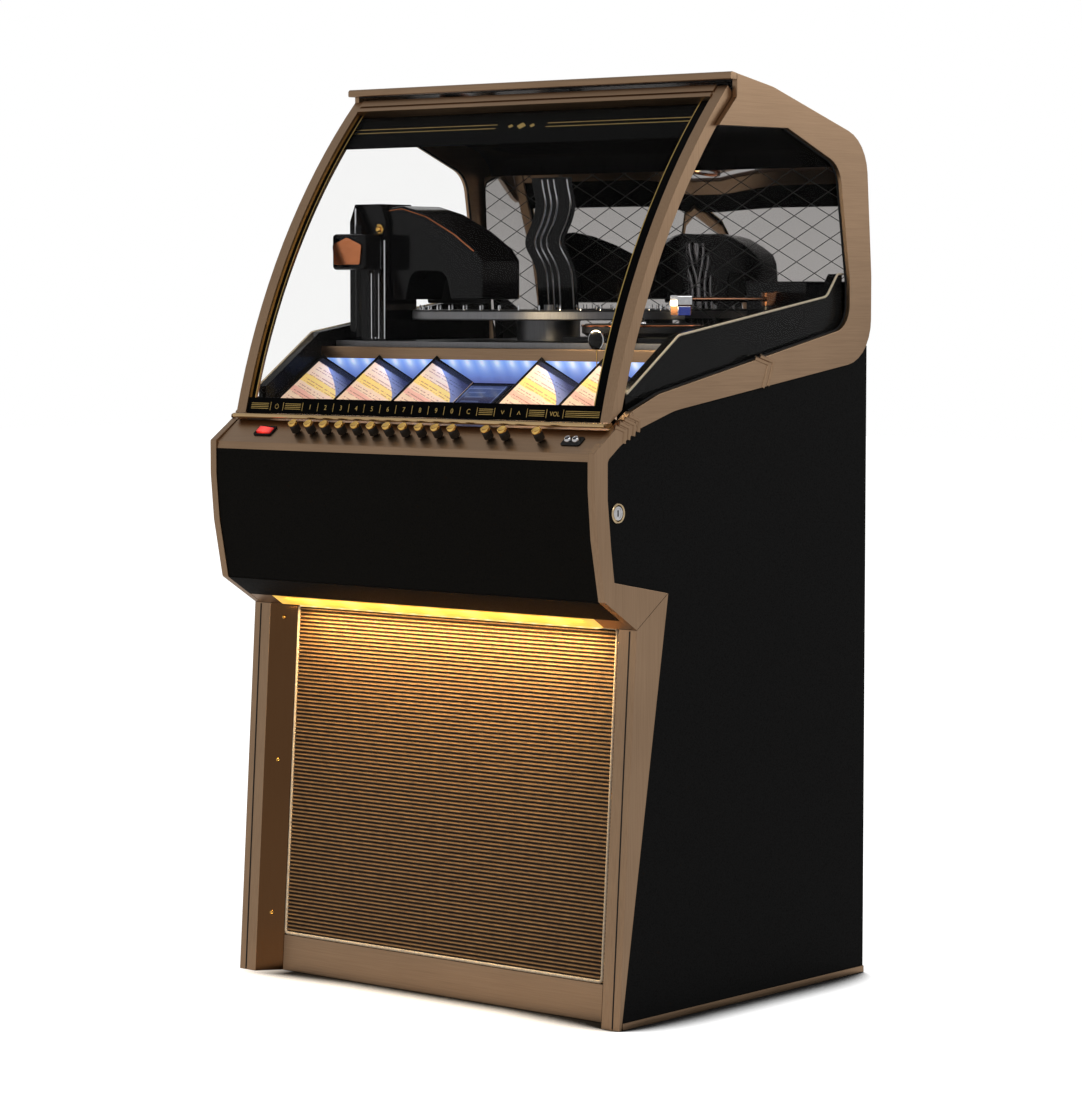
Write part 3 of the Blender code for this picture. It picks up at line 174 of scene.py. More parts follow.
class Bench:
    """A node tree, with one method that adds any node and a few that stand for common groups."""

    def __init__(self, tree: bpy.types.NodeTree) -> None:
        """Clear the tree to be built up."""
        self.tree = tree
        self.tree.nodes.clear()

    def node(self, kind: str, settings: Optional[dict] = None,
             inputs: Optional[dict] = None) -> bpy.types.Node:
        """Add a node.

        Args:
            kind: The node's type.
            settings: Its properties, set first; "stops" holds a ramp's places and colours.
            inputs: Values or wires by the socket's name or number.

        Returns:
            The new node.
        """
        made = self.tree.nodes.new(kind)
        for name, value in (settings or {}).items():
            if name == "stops":
                points = made.color_ramp.elements
                while len(points) < len(value):
                    points.new(0.5)
                for point, (place, colour) in zip(points, value):
                    point.position = place
                    point.color = (*colour, 1.0)
            else:
                setattr(made, name, value)
        for name, value in (inputs or {}).items():
            if isinstance(value, Wire):
                self.tree.links.new(value.socket, made.inputs[name])
            elif isinstance(value, tuple) and made.inputs[name].type == "RGBA":
                made.inputs[name].default_value = (*value, 1.0)
            else:
                made.inputs[name].default_value = value
        return made

    def wire(self, node: bpy.types.Node, output: Union[int, str] = 0) -> Wire:
        """Start a wire from a node's output."""
        return Wire(self, node.outputs[output])

    def place(self, scale: Sequence[float] = (1, 1, 1), turn: Sequence[float] = (0, 0, 0),
              shift: Sequence[float] = (0, 0, 0)) -> Wire:
        """Give object coordinates, turned, scaled and shifted.

        Args:
            scale: Scale along each axis.
            turn: Turn about each axis, in radians.
            shift: Shift along each axis.

        Returns:
            The coordinates.
        """
        spot = self.wire(self.node("ShaderNodeTexCoord"), "Object")
        settings = {"vector_type": "TEXTURE"} if any(turn) else {}
        if settings:
            spot = self.wire(self.node("ShaderNodeMapping", settings,
                                       {"Vector": spot, "Rotation": tuple(turn)}))
        inputs = {"Vector": spot, "Scale": tuple(scale), "Location": tuple(shift)}
        return self.wire(self.node("ShaderNodeMapping", {}, inputs))

    def axes(self, spot: Optional[Wire] = None) -> tuple[Wire, Wire, Wire]:
        """Give the three parts of a place, or of the object coordinates."""
        spot = spot or self.wire(self.node("ShaderNodeTexCoord"), "Object")
        parts = self.node("ShaderNodeSeparateXYZ", {}, {0: spot})
        return self.wire(parts, 0), self.wire(parts, 1), self.wire(parts, 2)

    def across_sheet(self) -> tuple[Wire, Wire]:
        """Give the two parts of the piece's own UV map."""
        parts = self.node("ShaderNodeSeparateXYZ", {},
                          {0: self.wire(self.node("ShaderNodeTexCoord"), "UV")})
        return self.wire(parts, 0), self.wire(parts, 1)

    def noise(self, spot: Wire, scale: float = 1.0, detail: float = 3.0, rough: float = 0.5) -> Wire:
        """Give a cloudy value round 0.5 at a place."""
        inputs = {"Vector": spot, "Scale": scale, "Detail": detail, "Roughness": rough}
        return self.wire(self.node("ShaderNodeTexNoise", {}, inputs))

    def cells(self, spot: Wire, scale: float) -> Wire:
        """Give the distance to the nearest cell's middle."""
        return self.wire(self.node("ShaderNodeTexVoronoi", {}, {"Vector": spot, "Scale": scale}))

    def mix(self, share: Value, first: Union[Wire, Colour], second: Union[Wire, Colour]) -> Wire:
        """Blend two colours by a share."""
        node = self.node("ShaderNodeMix", {"data_type": "RGBA"}, {0: share, 6: first, 7: second})
        return self.wire(node, 2)

    def bump(self, height: Wire, distance: float, strength: float = 1.0,
             under: Optional[Wire] = None) -> Wire:
        """Turn a height into a normal.

        Args:
            height: Height from 0 to 1.
            distance: How far 1 stands out, in metres.
            strength: How much of it shows.
            under: A normal to build on.

        Returns:
            The normal.
        """
        inputs: dict = {"Height": height, "Distance": distance, "Strength": strength}
        if under is not None:
            inputs["Normal"] = under
        return self.wire(self.node("ShaderNodeBump", {}, inputs))

    def principled(self, **sockets: Any) -> Wire:
        """Add the main shader; names use _ for a space."""
        inputs = {name.replace("_", " "): value for name, value in sockets.items() if value is not None}
        return self.wire(self.node("ShaderNodeBsdfPrincipled", {}, inputs))

    def end(self, shader: Wire, kind: str = "ShaderNodeOutputMaterial") -> None:
        """Join a shader to the tree's output."""
        self.node(kind, {}, {"Surface": shader})


class Finish(Protocol):
    """What any finish gives: the record's slot it stands for and its material."""

    name: str
    slot: str

    def paint(self, bench: Bench) -> Wire:
        """Build the shader."""


PAINTED: dict = {}


def material(finish: Finish) -> bpy.types.Material:
    """Give a finish's material, made once.

    Args:
        finish: The finish.

    Returns:
        Its material.
    """
    if finish not in PAINTED:
        made = bpy.data.materials.new(finish.name)
        made.use_nodes = True
        bench = Bench(made.node_tree)
        bench.end(finish.paint(bench))
        PAINTED[finish] = made
    return PAINTED[finish]


# --- Finishes --------------------------------------------------------------------------------------------


class Grain(Enum):
    """The way that a brushed finish runs, as the scale along each axis."""

    ACROSS = (0.02, 1.0, 1.0)
    DEPTH = (1.0, 0.02, 1.0)
    UP = (1.0, 1.0, 0.02)


@dataclass(frozen=True)
class BrushedMetal:
    """Metal brushed one way, with long thin streaks in its tone, gloss and height."""

    name: str
    slot: str
    light: Colour
    dark: Colour
    roughness: float = 0.36
    grain: Grain = Grain.UP
    pitch: float = 520.0
    depth: float = 0.00004
    polished_and_shaded_inside: float = 0.0
    # The colour that the inner part darkens to, as painted shade and reflection of the leg recess.
    inside: Colour = tone(84, 54, 28)

    def paint(self, bench: Bench) -> Wire:
        """Build the shader from a stretched noise and a slow cloud, smoother near the middle, where it is
        also darkened as painted shade.
        """
        spot = bench.place(self.grain.value)
        streak = bench.noise(spot, self.pitch, 4.0, 0.62)
        cloud = bench.noise(bench.place(), 5.0, 2.0)
        share = (streak * 0.75 + cloud * 0.45 - 0.1).kept()
        base = bench.mix(share, self.dark, self.light)
        gloss = self.roughness + (streak - 0.5) * 0.22 + (cloud - 0.5) * 0.10
        normal = bench.bump(streak, self.depth, 0.55)
        if self.polished_and_shaded_inside:
            x, _, _ = bench.axes()
            inner = abs(x) < self.polished_and_shaded_inside
            gloss = gloss * (1 - inner * 0.75)
            # Painted shade: the recess walls near the middle darken towards the inside colour, standing for
            # their shade and the grille's reflection.
            base = bench.mix(inner * 0.9, base, self.inside)
        return bench.principled(Base_Color=base, Metallic=1.0, Roughness=gloss, Normal=normal)


@dataclass(frozen=True)
class PolishedMetal:
    """Smooth plated metal with faint wipe marks in its gloss."""

    name: str
    slot: str
    light: Colour
    dark: Colour
    roughness: float = 0.12

    def paint(self, bench: Bench) -> Wire:
        """Build the shader from two scales of noise."""
        wipe = bench.noise(bench.place((60.0, 60.0, 200.0)), 1.0, 3.0)
        cloud = bench.noise(bench.place(), 40.0, 3.0)
        base = bench.mix((wipe * 0.6 + cloud * 0.6 - 0.1).kept(), self.dark, self.light)
        gloss = self.roughness + (cloud - 0.5) * 0.10
        normal = bench.bump(wipe, 0.00002, 0.4)
        return bench.principled(Base_Color=base, Metallic=1.0, Roughness=gloss, Normal=normal)


@dataclass(frozen=True)
class Leathercloth:
    """Black leathercloth: small pebbles between fine creases, with painted shade darkening the creases and
    the pebbles' tops a little paler.
    """

    name: str
    slot: str
    pebble: Colour
    painted_crease_shade: Colour
    scale: float = 520.0
    gloss_inside: float = 0.0

    def paint(self, bench: Bench) -> Wire:
        """Build the shader from cells, with a smooth liner inside a distance from the middle."""
        spot = bench.place()
        cell = bench.cells(spot, self.scale)
        broad = bench.noise(spot, 90.0, 4.0, 0.6)
        height = (1 - cell) * 0.8 + broad * 0.4
        # Painted shade: the base darkens where the pebble height is low, in the creases.
        base = bench.mix(height.ease(0.25, 0.95), self.painted_crease_shade, self.pebble)
        x, _, _ = bench.axes()
        cloth = abs(x) > self.gloss_inside
        gloss = cloth * (0.34 + cell * 0.22 + broad * 0.08) + 0.16
        normal = bench.bump(height * cloth, 0.00022, 0.55)
        return bench.principled(Base_Color=base, Roughness=gloss, Specular_IOR_Level=0.05, Normal=normal,
                                Coat_Weight=(1 - cloth) * 0.10, Coat_Roughness=0.08)


@dataclass(frozen=True)
class Plastic:
    """Moulded or lacquered plastic, with a faint ripple and specks of dust."""

    name: str
    slot: str
    light: Colour
    dark: Colour
    roughness: float = 0.12
    specular: float = 0.4
    ripple: float = 0.00003
    scale: float = 60.0

    def paint(self, bench: Bench) -> Wire:
        """Build the shader from a ripple and fine specks."""
        spot = bench.place()
        wave = bench.noise(spot, self.scale, 2.0)
        speck = bench.noise(spot, 1400.0, 2.0)
        base = bench.mix((wave * 0.7 + speck * 0.4 - 0.05).kept(), self.dark, self.light)
        gloss = self.roughness + (wave - 0.4) * 0.06 + speck.ease(0.62, 0.8) * 0.2
        normal = bench.bump(wave + speck * 0.15, self.ripple, 0.5)
        return bench.principled(Base_Color=base, Roughness=gloss, Specular_IOR_Level=self.specular,
                                Normal=normal)


@dataclass(frozen=True)
class GrilleCloth:
    """Ribbed grille cloth: gold thread on the crests, with painted shade darkening the flanks and near black
    between the ribs, and a woven thread across.
    """

    name: str = "ribbed_grille_cloth"
    slot: str = "grille_cloth"
    crest: Colour = tone(214, 172, 118)
    painted_flank_shade: Colour = tone(104, 74, 44)
    painted_groove_shade: Colour = tone(18, 12, 8)
    foot: float = 0.0618
    pitch: float = 0.00661
    thread: float = 0.0016

    def paint(self, bench: Bench) -> Wire:
        """Build the shader: the rib is a swing of the height, and the thread a sine across it."""
        x, _, z = bench.axes()
        rib = ((z - self.foot) / self.pitch).swing(0.5) * 2
        strand = ((x * (2 * math.pi / self.thread)).sine() * 0.5 + 0.5)
        slub = bench.noise(bench.place((60.0, 1.0, 1.0 / self.pitch)), 1.0, 3.0, 0.7)
        fuzz = bench.noise(bench.place(), 1500.0, 2.0)
        # Painted shade: the colour falls from crest to flank to near black as the rib's height and the cross
        # thread's sine fall.
        share = (rib ** 1.6) * (0.70 + strand * 0.30) * (0.55 + slub * 0.9)
        low = bench.mix(share.ease(0.04, 0.42), self.painted_groove_shade, self.painted_flank_shade)
        base = bench.mix(share.ease(0.42, 1.0), low, self.crest)
        normal = bench.bump(strand * 0.6 + fuzz * 0.5, 0.0004, 0.6)
        return bench.principled(Base_Color=base, Roughness=0.5 + fuzz * 0.25,
                                Metallic=share.ease(0.3, 0.9) * 0.35,
                                Specular_IOR_Level=0.4, Sheen_Weight=0.0, Normal=normal)


@dataclass(frozen=True)
class Cord:
    """Pale woven piping cord, with its twist and a little soil."""

    name: str = "pale_piping"
    slot: str = "piping"
    light: Colour = tone(240, 226, 202)
    dark: Colour = tone(176, 150, 118)
    twist: float = 0.0030

    def paint(self, bench: Bench) -> Wire:
        """Build the shader from a slanting sine along the cord."""
        x, y, z = bench.axes()
        turn = ((x + y * 0.7 + z * 1.3) * (2 * math.pi / self.twist)).sine() * 0.5 + 0.5
        soil = bench.noise(bench.place(), 220.0, 4.0)
        # Painted shade: the base darkens where the twist's sine is low, in the hollows of the twist; the
        # soil noise is random tone.
        base = bench.mix((turn * 0.35 + soil * 0.9).ease(0.15, 0.8), self.dark, self.light)
        return bench.principled(Base_Color=base, Roughness=0.42 + soil * 0.2,
                                Normal=bench.bump(turn, 0.0003, 0.5))


@dataclass(frozen=True)
class ClearGlass:
    """Clear sheet glass: see-through, with a dim shine that grows at a glancing look, and faint smears."""

    name: str
    slot: str = "clear_glass"
    tint: Colour = (0.988, 0.988, 0.986)
    shine: Colour = (0.22, 0.22, 0.22)
    gain: float = 0.45
    index: float = 1.45

    def paint(self, bench: Bench) -> Wire:
        """Build the shader as a mix of clear and glossy by Fresnel's share."""
        clear = bench.wire(bench.node("ShaderNodeBsdfTransparent", {}, {"Color": self.tint}))
        gloss = bench.wire(bench.node("ShaderNodeBsdfGlossy", {}, {"Color": self.shine, "Roughness": 0.03}))
        smear = bench.noise(bench.place((9.0, 30.0, 30.0)), 1.0, 3.0)
        outer = 1 - bench.wire(bench.node("ShaderNodeNewGeometry"), "Backfacing")
        share = bench.wire(bench.node("ShaderNodeFresnel", {},
                                      {"IOR": self.index})) * (smear * 0.6 + 0.7) * outer * self.gain
        return bench.wire(bench.node("ShaderNodeMixShader", {}, {0: share.kept(), 1: clear, 2: gloss}))


@dataclass(frozen=True)
class LatticeMirror:
    """Mirror printed with a lattice of dark diamonds."""

    name: str = "lattice_mirror"
    slot: str = "mirror"
    silver: Colour = tone(188, 184, 182)
    line: Colour = tone(10, 9, 8)
    across: float = 0.0740
    up: float = 0.0395
    width: float = 0.022
    turn: float = 0.25
    lean: float = 0.15

    def paint(self, bench: Bench) -> Wire:
        """Build the shader: a line stands where the sum or the difference of x and z is whole.

        The sheet's slight bend is in its normal, which turns at the left and leans back at the top.
        """
        x, _, z = bench.axes()
        rising = (x / self.across + z / self.up).swing(0.5)
        falling = (x / self.across - z / self.up).swing(0.5)
        mark = rising.smaller(falling) < self.width
        haze = bench.noise(bench.place(), 30.0, 3.0)
        base = bench.mix(mark, self.silver, self.line)
        turn = (1 - x.ease(-0.06, 0.06)) * (self.turn + x.ease(-0.30, -0.04) * 0.08)
        turn = turn - x.ease(0.0, 0.08) * (1 - x.ease(0.14, 0.26)) * 0.11
        lean = z.ease(1.235, 1.345) * self.lean
        way = bench.wire(bench.node("ShaderNodeCombineXYZ", {}, {0: turn, 1: -1.0, 2: lean}))
        way = bench.wire(bench.node("ShaderNodeVectorMath", {"operation": "NORMALIZE"}, {0: way}))
        return bench.principled(Base_Color=base, Metallic=1 - mark,
                                Roughness=mark * 0.4 + haze * 0.03 + 0.01, Normal=way)


@dataclass(frozen=True)
class TitleCards:
    """Printed title strips: ruled lines on cream, with yellow and pink bands, and painted lamp light: a
    darker blue-lit rear part and a glow.
    """

    name: str = "title_cards"
    slot: str = "cards"
    paper: Colour = tone(238, 216, 184)
    ink: Colour = tone(150, 92, 86)
    yellow: Colour = tone(240, 204, 104)
    pink: Colour = tone(226, 150, 140)
    painted_blue_light: Colour = tone(120, 126, 160)
    painted_blue_shade: Colour = tone(44, 46, 78)
    strips: float = 9.0
    glow: float = 0.30

    def paint(self, bench: Bench) -> Wire:
        """Build the shader from the card's own map: strips along it, and lines and bands in each."""
        u, v = bench.across_sheet()
        strip = (v * self.strips).part()
        row = (v * self.strips).whole()
        word = bench.noise(bench.wire(bench.node("ShaderNodeCombineXYZ", {}, {0: u * 26.0, 1: row * 7.3})),
                           1.0, 2.0)
        second = bench.noise(bench.wire(bench.node("ShaderNodeCombineXYZ", {},
                                                   {0: u * 34.0, 1: row * 3.1 + 40.0})),
                             1.0, 2.0)
        upper = (abs(strip - 0.70) < 0.07) * (word > 0.47)
        lower = (abs(strip - 0.34) < 0.06) * (second > 0.45)
        inside = (abs(u - 0.5) < 0.42)
        lines = upper.larger(lower) * inside
        soft = bench.noise(bench.place(), 60.0, 3.0)
        paper = bench.mix(soft * 0.4, self.paper, self.pink)
        paper = bench.mix((abs(v - 0.64 - (soft - 0.5) * 0.05) < 0.065) * 0.85, paper, self.yellow)
        paper = bench.mix((abs(v - 0.42 - (soft - 0.5) * 0.05) < 0.045) * 0.55, paper, self.pink)
        paper = bench.mix(lines * 0.6, paper, self.ink)
        # Painted light and shade: past a curve from the ridge's rear end to the valley, the paper gives way
        # to painted blue light that darkens towards the valley.
        rise = (v - 0.45).larger(0.0) / 0.55
        edge = 1 - rise * rise
        shade = (u - edge).ease(0.0, 0.02)
        painted_blue_light = bench.mix((u - edge).ease(0.05, 0.50), self.painted_blue_light, self.painted_blue_shade)
        painted_blue_light = bench.mix(lines * 0.5, painted_blue_light, (0.01, 0.01, 0.02))
        base = bench.mix(shade, paper, painted_blue_light)
        base = bench.mix(v > 0.93, base, (0.006, 0.007, 0.02))
        # Painted light: the cards glow in their own colour, though they are no lamp.
        return bench.principled(Base_Color=base, Roughness=0.38 + soft * 0.15, Emission_Color=base,
                                Emission_Strength=self.glow)


@dataclass(frozen=True)
class LampRow:
    """A diffuser lit by a row of small lamps behind it."""

    name: str
    slot: str
    core: Colour
    rim: Colour
    pitch: float = 0.033
    strength: float = 2.0

    def paint(self, bench: Bench) -> Wire:
        """Build the shader: each lamp is a bright spot on a swing of x."""
        x, _, _ = bench.axes()
        spot = 1 - (x / self.pitch).swing(0.5) * 2
        cloud = bench.noise(bench.place(), 50.0, 2.0)
        glow = bench.mix(spot.ease(0.35, 1.0) * (0.6 + cloud * 0.6), self.rim, self.core)
        return bench.principled(Base_Color=glow, Roughness=0.4, Emission_Color=glow,
                                Emission_Strength=self.strength)


@dataclass(frozen=True)
class BlueWall:
    """A wall washed with blue by a row of small lamps along its head."""

    name: str = "blue_lit_wall"
    slot: str = "lamp"
    core: Colour = tone(212, 230, 255)
    near: Colour = tone(104, 156, 248)
    far: Colour = tone(86, 100, 172)
    head: float = 1.0585
    foot: float = 1.0200
    pitch: float = 0.0330
    spread: float = 0.0062

    def paint(self, bench: Bench) -> Wire:
        """Build the shader: a lamp's light falls as 1 / (1 + (r / spread)^2), over a fade downwards."""
        x, _, z = bench.axes()
        aside = (0.5 - (x / self.pitch).swing(0.5)) * self.pitch
        below = (self.head - 0.004 - z)
        reach = (aside * aside + below * below * 0.7) / (self.spread * self.spread)
        spot = (reach + 1) ** -1
        cloud = bench.noise(bench.place(), 34.0, 2.0)
        fade = ((self.head - z) / (self.head - self.foot) + (cloud - 0.5) * 0.5).kept()
        glow = bench.mix(spot.kept(), bench.mix(fade, self.near, self.far), self.core)
        return bench.principled(Base_Color=glow, Roughness=0.5, Emission_Color=glow, Emission_Strength=0.72)


@dataclass(frozen=True)
class ScreenFace:
    """A lit screen: rows of plain bars and a ring on deep blue."""

    name: str = "screen_face"
    slot: str = "screen"
    deep: Colour = tone(26, 32, 62)
    pale: Colour = tone(130, 146, 196)
    warm: Colour = tone(206, 120, 150)
    rows: float = 9.0

    def paint(self, bench: Bench) -> Wire:
        """Build the shader from the screen's own map."""
        u, v = bench.across_sheet()
        row = (v * self.rows)
        length = bench.noise(bench.wire(bench.node("ShaderNodeCombineXYZ", {},
                                                   {0: row.whole() * 5.7, 1: 2.0})), 1.0)
        bar = (abs(row.part() - 0.5) < 0.16) * (u > 0.12) * (u < 0.25 + length * 0.7) * (v > 0.30)
        reach = ((u - 0.5) ** 2 + ((v - 0.17) * 1.4) ** 2) ** 0.5
        ring = abs(reach - 0.11) < 0.018
        sky = bench.mix(v.ease(0.0, 1.0), self.deep, tone(70, 78, 120))
        edge = (abs(abs(u - 0.5) - 0.46) < 0.010).larger(abs(v - 0.93) < 0.010)
        glow = bench.mix(bar * 0.6, sky, self.pale)
        glow = bench.mix(ring * 0.8, glow, self.warm)
        glow = bench.mix(edge * 0.8, glow, self.pale)
        return bench.principled(Base_Color=(0.01, 0.01, 0.02), Roughness=0.08 + length * 0.04,
                                Emission_Color=glow, Emission_Strength=0.45)


@dataclass(frozen=True)
class RedLens:
    """Clear red plastic, lit from behind, brighter towards its middle."""

    name: str = "red_lens"
    slot: str = "red"
    place_x: float = -0.3195
    core: Colour = tone(255, 60, 48)
    edge: Colour = tone(150, 6, 10)

    def paint(self, bench: Bench) -> Wire:
        """Build the shader from the distance to the lens's middle."""
        x, _, _ = bench.axes()
        near = 1 - (abs(x - self.place_x) / 0.014).kept()
        cloud = bench.noise(bench.place(), 300.0, 2.0)
        glow = bench.mix((near * 0.9 + cloud * 0.3).kept(), self.edge, self.core)
        return bench.principled(Base_Color=glow, Roughness=0.18, Coat_Weight=0.5, Emission_Color=glow,
                                Emission_Strength=0.9)


@dataclass(frozen=True)
class Board:
    """Pressed board under thin paint, with fibres showing."""

    name: str
    slot: str
    light: Colour
    dark: Colour
    roughness: float = 0.7

    def paint(self, bench: Bench) -> Wire:
        """Build the shader from long fibres and a cloud."""
        fibre = bench.noise(bench.place((18.0, 240.0, 240.0)), 1.0, 4.0, 0.65)
        cloud = bench.noise(bench.place(), 9.0, 3.0)
        base = bench.mix((fibre * 0.7 + cloud * 0.5 - 0.1).kept(), self.dark, self.light)
        normal = bench.bump(fibre, 0.0002, 0.5)
        return bench.principled(Base_Color=base, Roughness=self.roughness + fibre * 0.15,
                                Specular_IOR_Level=0.25, Normal=normal)


BRONZE_LIGHT, BRONZE_DARK = tone(176, 146, 117), tone(128, 103, 80)
BRONZE_UP = BrushedMetal("bronze_brushed_up", "bronze_trim", BRONZE_LIGHT, BRONZE_DARK)
BRONZE_LEG = BrushedMetal("bronze_brushed_leg", "bronze_trim", BRONZE_LIGHT, BRONZE_DARK,
                          polished_and_shaded_inside=0.3868)
BRONZE_ACROSS = BrushedMetal("bronze_brushed_across", "bronze_trim", BRONZE_LIGHT, BRONZE_DARK,
                             grain=Grain.ACROSS)
BRONZE_DEPTH = BrushedMetal("bronze_brushed_back", "bronze_trim", BRONZE_LIGHT, BRONZE_DARK,
                            grain=Grain.DEPTH)
BRONZE_BRIGHT = BrushedMetal("bronze_polished", "bronze_trim", tone(226, 196, 150), tone(170, 136, 92),
                             roughness=0.22, grain=Grain.ACROSS, pitch=260.0)
GOLD = PolishedMetal("gold_plate", "gold_caps", tone(255, 214, 128), tone(198, 148, 66), roughness=0.14)
PALE_GOLD = PolishedMetal("pale_gold", "gold_caps", tone(228, 206, 168), tone(176, 150, 112),
                          roughness=0.20)
ARM_TUBE = PolishedMetal("brown_tube", "bronze_trim", tone(132, 92, 66), tone(84, 56, 40), roughness=0.20)
GOLD_LINE = PolishedMetal("gold_line", "gold_caps", tone(222, 190, 118), tone(150, 122, 62), roughness=0.30)
COPPER = PolishedMetal("copper_ring", "gold_caps", tone(232, 150, 104), tone(160, 92, 56), roughness=0.16)
CHROME = PolishedMetal("chrome_plate", "chrome", tone(226, 226, 228), tone(176, 176, 180), roughness=0.08)
BRIGHT_LINE = PolishedMetal("bright_line", "chrome", tone(246, 246, 250), tone(214, 214, 220),
                            roughness=0.22)
STEEL = BrushedMetal("steel_plate", "steel", tone(150, 150, 152), tone(96, 96, 100), roughness=0.40)
CAST = Plastic("cast_metal_black", "cast_metal", tone(30, 30, 32), tone(14, 14, 16), roughness=0.30,
               specular=0.3, ripple=0.0002, scale=700.0)
SIDE_CLOTH = Leathercloth("black_leathercloth", "black_vinyl", tone(19, 19, 19), tone(11, 11, 11),
                          gloss_inside=0.4058)
FRONT_CLOTH = Leathercloth("black_leathercloth_front", "black_vinyl", tone(20, 18, 15), tone(12, 11, 9))
GLOSS = Plastic("gloss_black", "gloss_black", tone(9, 9, 10), tone(3, 3, 4), roughness=0.10, specular=0.16)
PRINT_BLACK = Plastic("print_black", "gloss_black", tone(6, 6, 6), tone(2, 2, 2), roughness=0.35,
                      specular=0.02)
SATIN = Plastic("satin_black", "matte_black", tone(20, 19, 18), tone(9, 9, 9), roughness=0.34,
                specular=0.12)
RUBBER = Plastic("black_rubber", "matte_black", tone(22, 22, 22), tone(10, 10, 10), roughness=0.6,
                 specular=0.2)
SKIRT = Plastic("button_black", "matte_black", tone(28, 27, 26), tone(12, 12, 12), roughness=0.3,
                specular=0.4)
BLUE_PLASTIC = Plastic("blue_plastic", "gloss_black", tone(52, 84, 214), tone(24, 44, 150), roughness=0.2)
CEILING = Plastic("ceiling_lacquer", "matte_black", tone(14, 12, 10), tone(6, 5, 4), roughness=0.16,
                  specular=0.22)
BARE_BOARD = Board("bare_board", "board", tone(168, 132, 94), tone(122, 90, 60))
BLACK_BOARD = Board("black_board", "board_black", tone(34, 34, 35), tone(18, 18, 19), roughness=0.62)
DOOR_GLASS = ClearGlass("door_glass_clear")
SIDE_GLASS = ClearGlass("side_glass_clear", shine=(0.22, 0.22, 0.22))
MIRROR = LatticeMirror()
GRILLE = GrilleCloth()
PIPING = Cord()
CARDS = TitleCards()
SCREEN = ScreenFace()
BLUE_WALL = BlueWall()
WARM_ROW = LampRow("warm_lamp_row", "lamp", tone(255, 236, 170), tone(248, 204, 110), strength=1.1)
# Painted light: a glow laid over the soffit's rear, standing for the strip lamp's light on it; it is no
# lamp.
GOLD_GLOW = LampRow("gold_glow", "lamp", tone(246, 204, 104), tone(226, 176, 74), pitch=0.090,
                    strength=0.95)
WARM_BULB = LampRow("warm_bulb", "lamp", tone(255, 236, 190), tone(255, 206, 130), strength=5.0)
RED = RedLens()


# --- Surfaces --------------------------------------------------------------------------------------------


@dataclass(frozen=True)
class Side:
    """The side view that every long piece shares: depth and height as shares of the cabinet."""

    depth: float = 0.747
    height: float = 1.53

    def at(self, along: float, up: float) -> tuple[float, float]:
        """Give the y and z of a place given in shares."""
        return (self.depth * (along - 0.5), self.height * up)

    def path(self, *places: tuple[float, float]) -> np.ndarray:
        """Give the y and z of several places given in shares."""
        return np.array([self.at(*place) for place in places])


SIDE = Side()


def rounded(corners: np.ndarray, radii: Sequence[float], steps: int = 10,
            closed: bool = False) -> np.ndarray:
    """Round the corners of a flat path.

    A corner C with unit directions a and b to its neighbours and half angle h = acos(a . b) / 2 gives way to
    points O + r (u sin((1 - t) W) + v sin(t W)) / sin W, where O = C + r (a + b) / (|a + b| sin h).

    Args:
        corners: Corners, as rows of two or three parts.
        radii: The radius at each corner, 0 for a sharp one.
        steps: Points on each arc, less one.
        closed: Whether the path runs on from its last corner to its first.

    Returns:
        The rounded path.
    """
    corners = np.asarray(corners, dtype=float)
    before, after = np.roll(corners, 1, axis=0), np.roll(corners, -1, axis=0)
    pieces = []
    for place, corner, radius in zip(range(len(corners)), corners, radii):
        if radius <= 0 or (not closed and place in (0, len(corners) - 1)):
            pieces.append(corner[None, :])
            continue
        a, b = before[place] - corner, after[place] - corner
        a, b = a / np.linalg.norm(a), b / np.linalg.norm(b)
        half = math.acos(float(np.clip(a @ b, -1, 1))) / 2
        centre = corner + (a + b) / np.linalg.norm(a + b) * radius / math.sin(half)
        reach = radius / math.tan(half)
        u, v = corner + a * reach - centre, corner + b * reach - centre
        wide = math.acos(float(np.clip(u @ v / radius ** 2, -1, 1)))
        t = np.linspace(0, 1, steps + 1)[:, None]
        pieces.append(centre + (u * np.sin((1 - t) * wide) + v * np.sin(t * wide)) / math.sin(wide))
    return np.concatenate(pieces)


def circle(radius: float, steps: int = 12, squash: float = 1.0) -> np.ndarray:
    """Give a round profile: (r cos t, s r sin t)."""
    t = np.linspace(0, 2 * math.pi, steps, endpoint=False)
    return np.stack([radius * np.cos(t), squash * radius * np.sin(t)], axis=1)


def box_profile(low_u: float, low_v: float, high_u: float, high_v: float) -> np.ndarray:
    """Give the four corners of a flat bar's section."""
    return np.array([(low_u, low_v), (high_u, low_v), (high_u, high_v), (low_u, high_v)])


def upright(path: np.ndarray, x: float) -> np.ndarray:
    """Set a path of y and z upright at an x."""
    return np.column_stack([np.full(len(path), x), path])


def axes_for(direction: Sequence[float], hint: Sequence[float] = (0, 0, 1)) -> np.ndarray:
    """Give three unit axes, the last along a direction: w = d / |d|, u = hint x w, v = w x u."""
    w = np.asarray(direction, dtype=float)
    w = w / np.linalg.norm(w)
    hint = np.asarray(hint, dtype=float)
    if abs(float(hint @ w)) > 0.95 * np.linalg.norm(hint):
        hint = np.array((1.0, 0.0, 0.0))
    u = np.cross(hint, w)
    u = u / np.linalg.norm(u)
    return np.stack([u, np.cross(w, u), w])


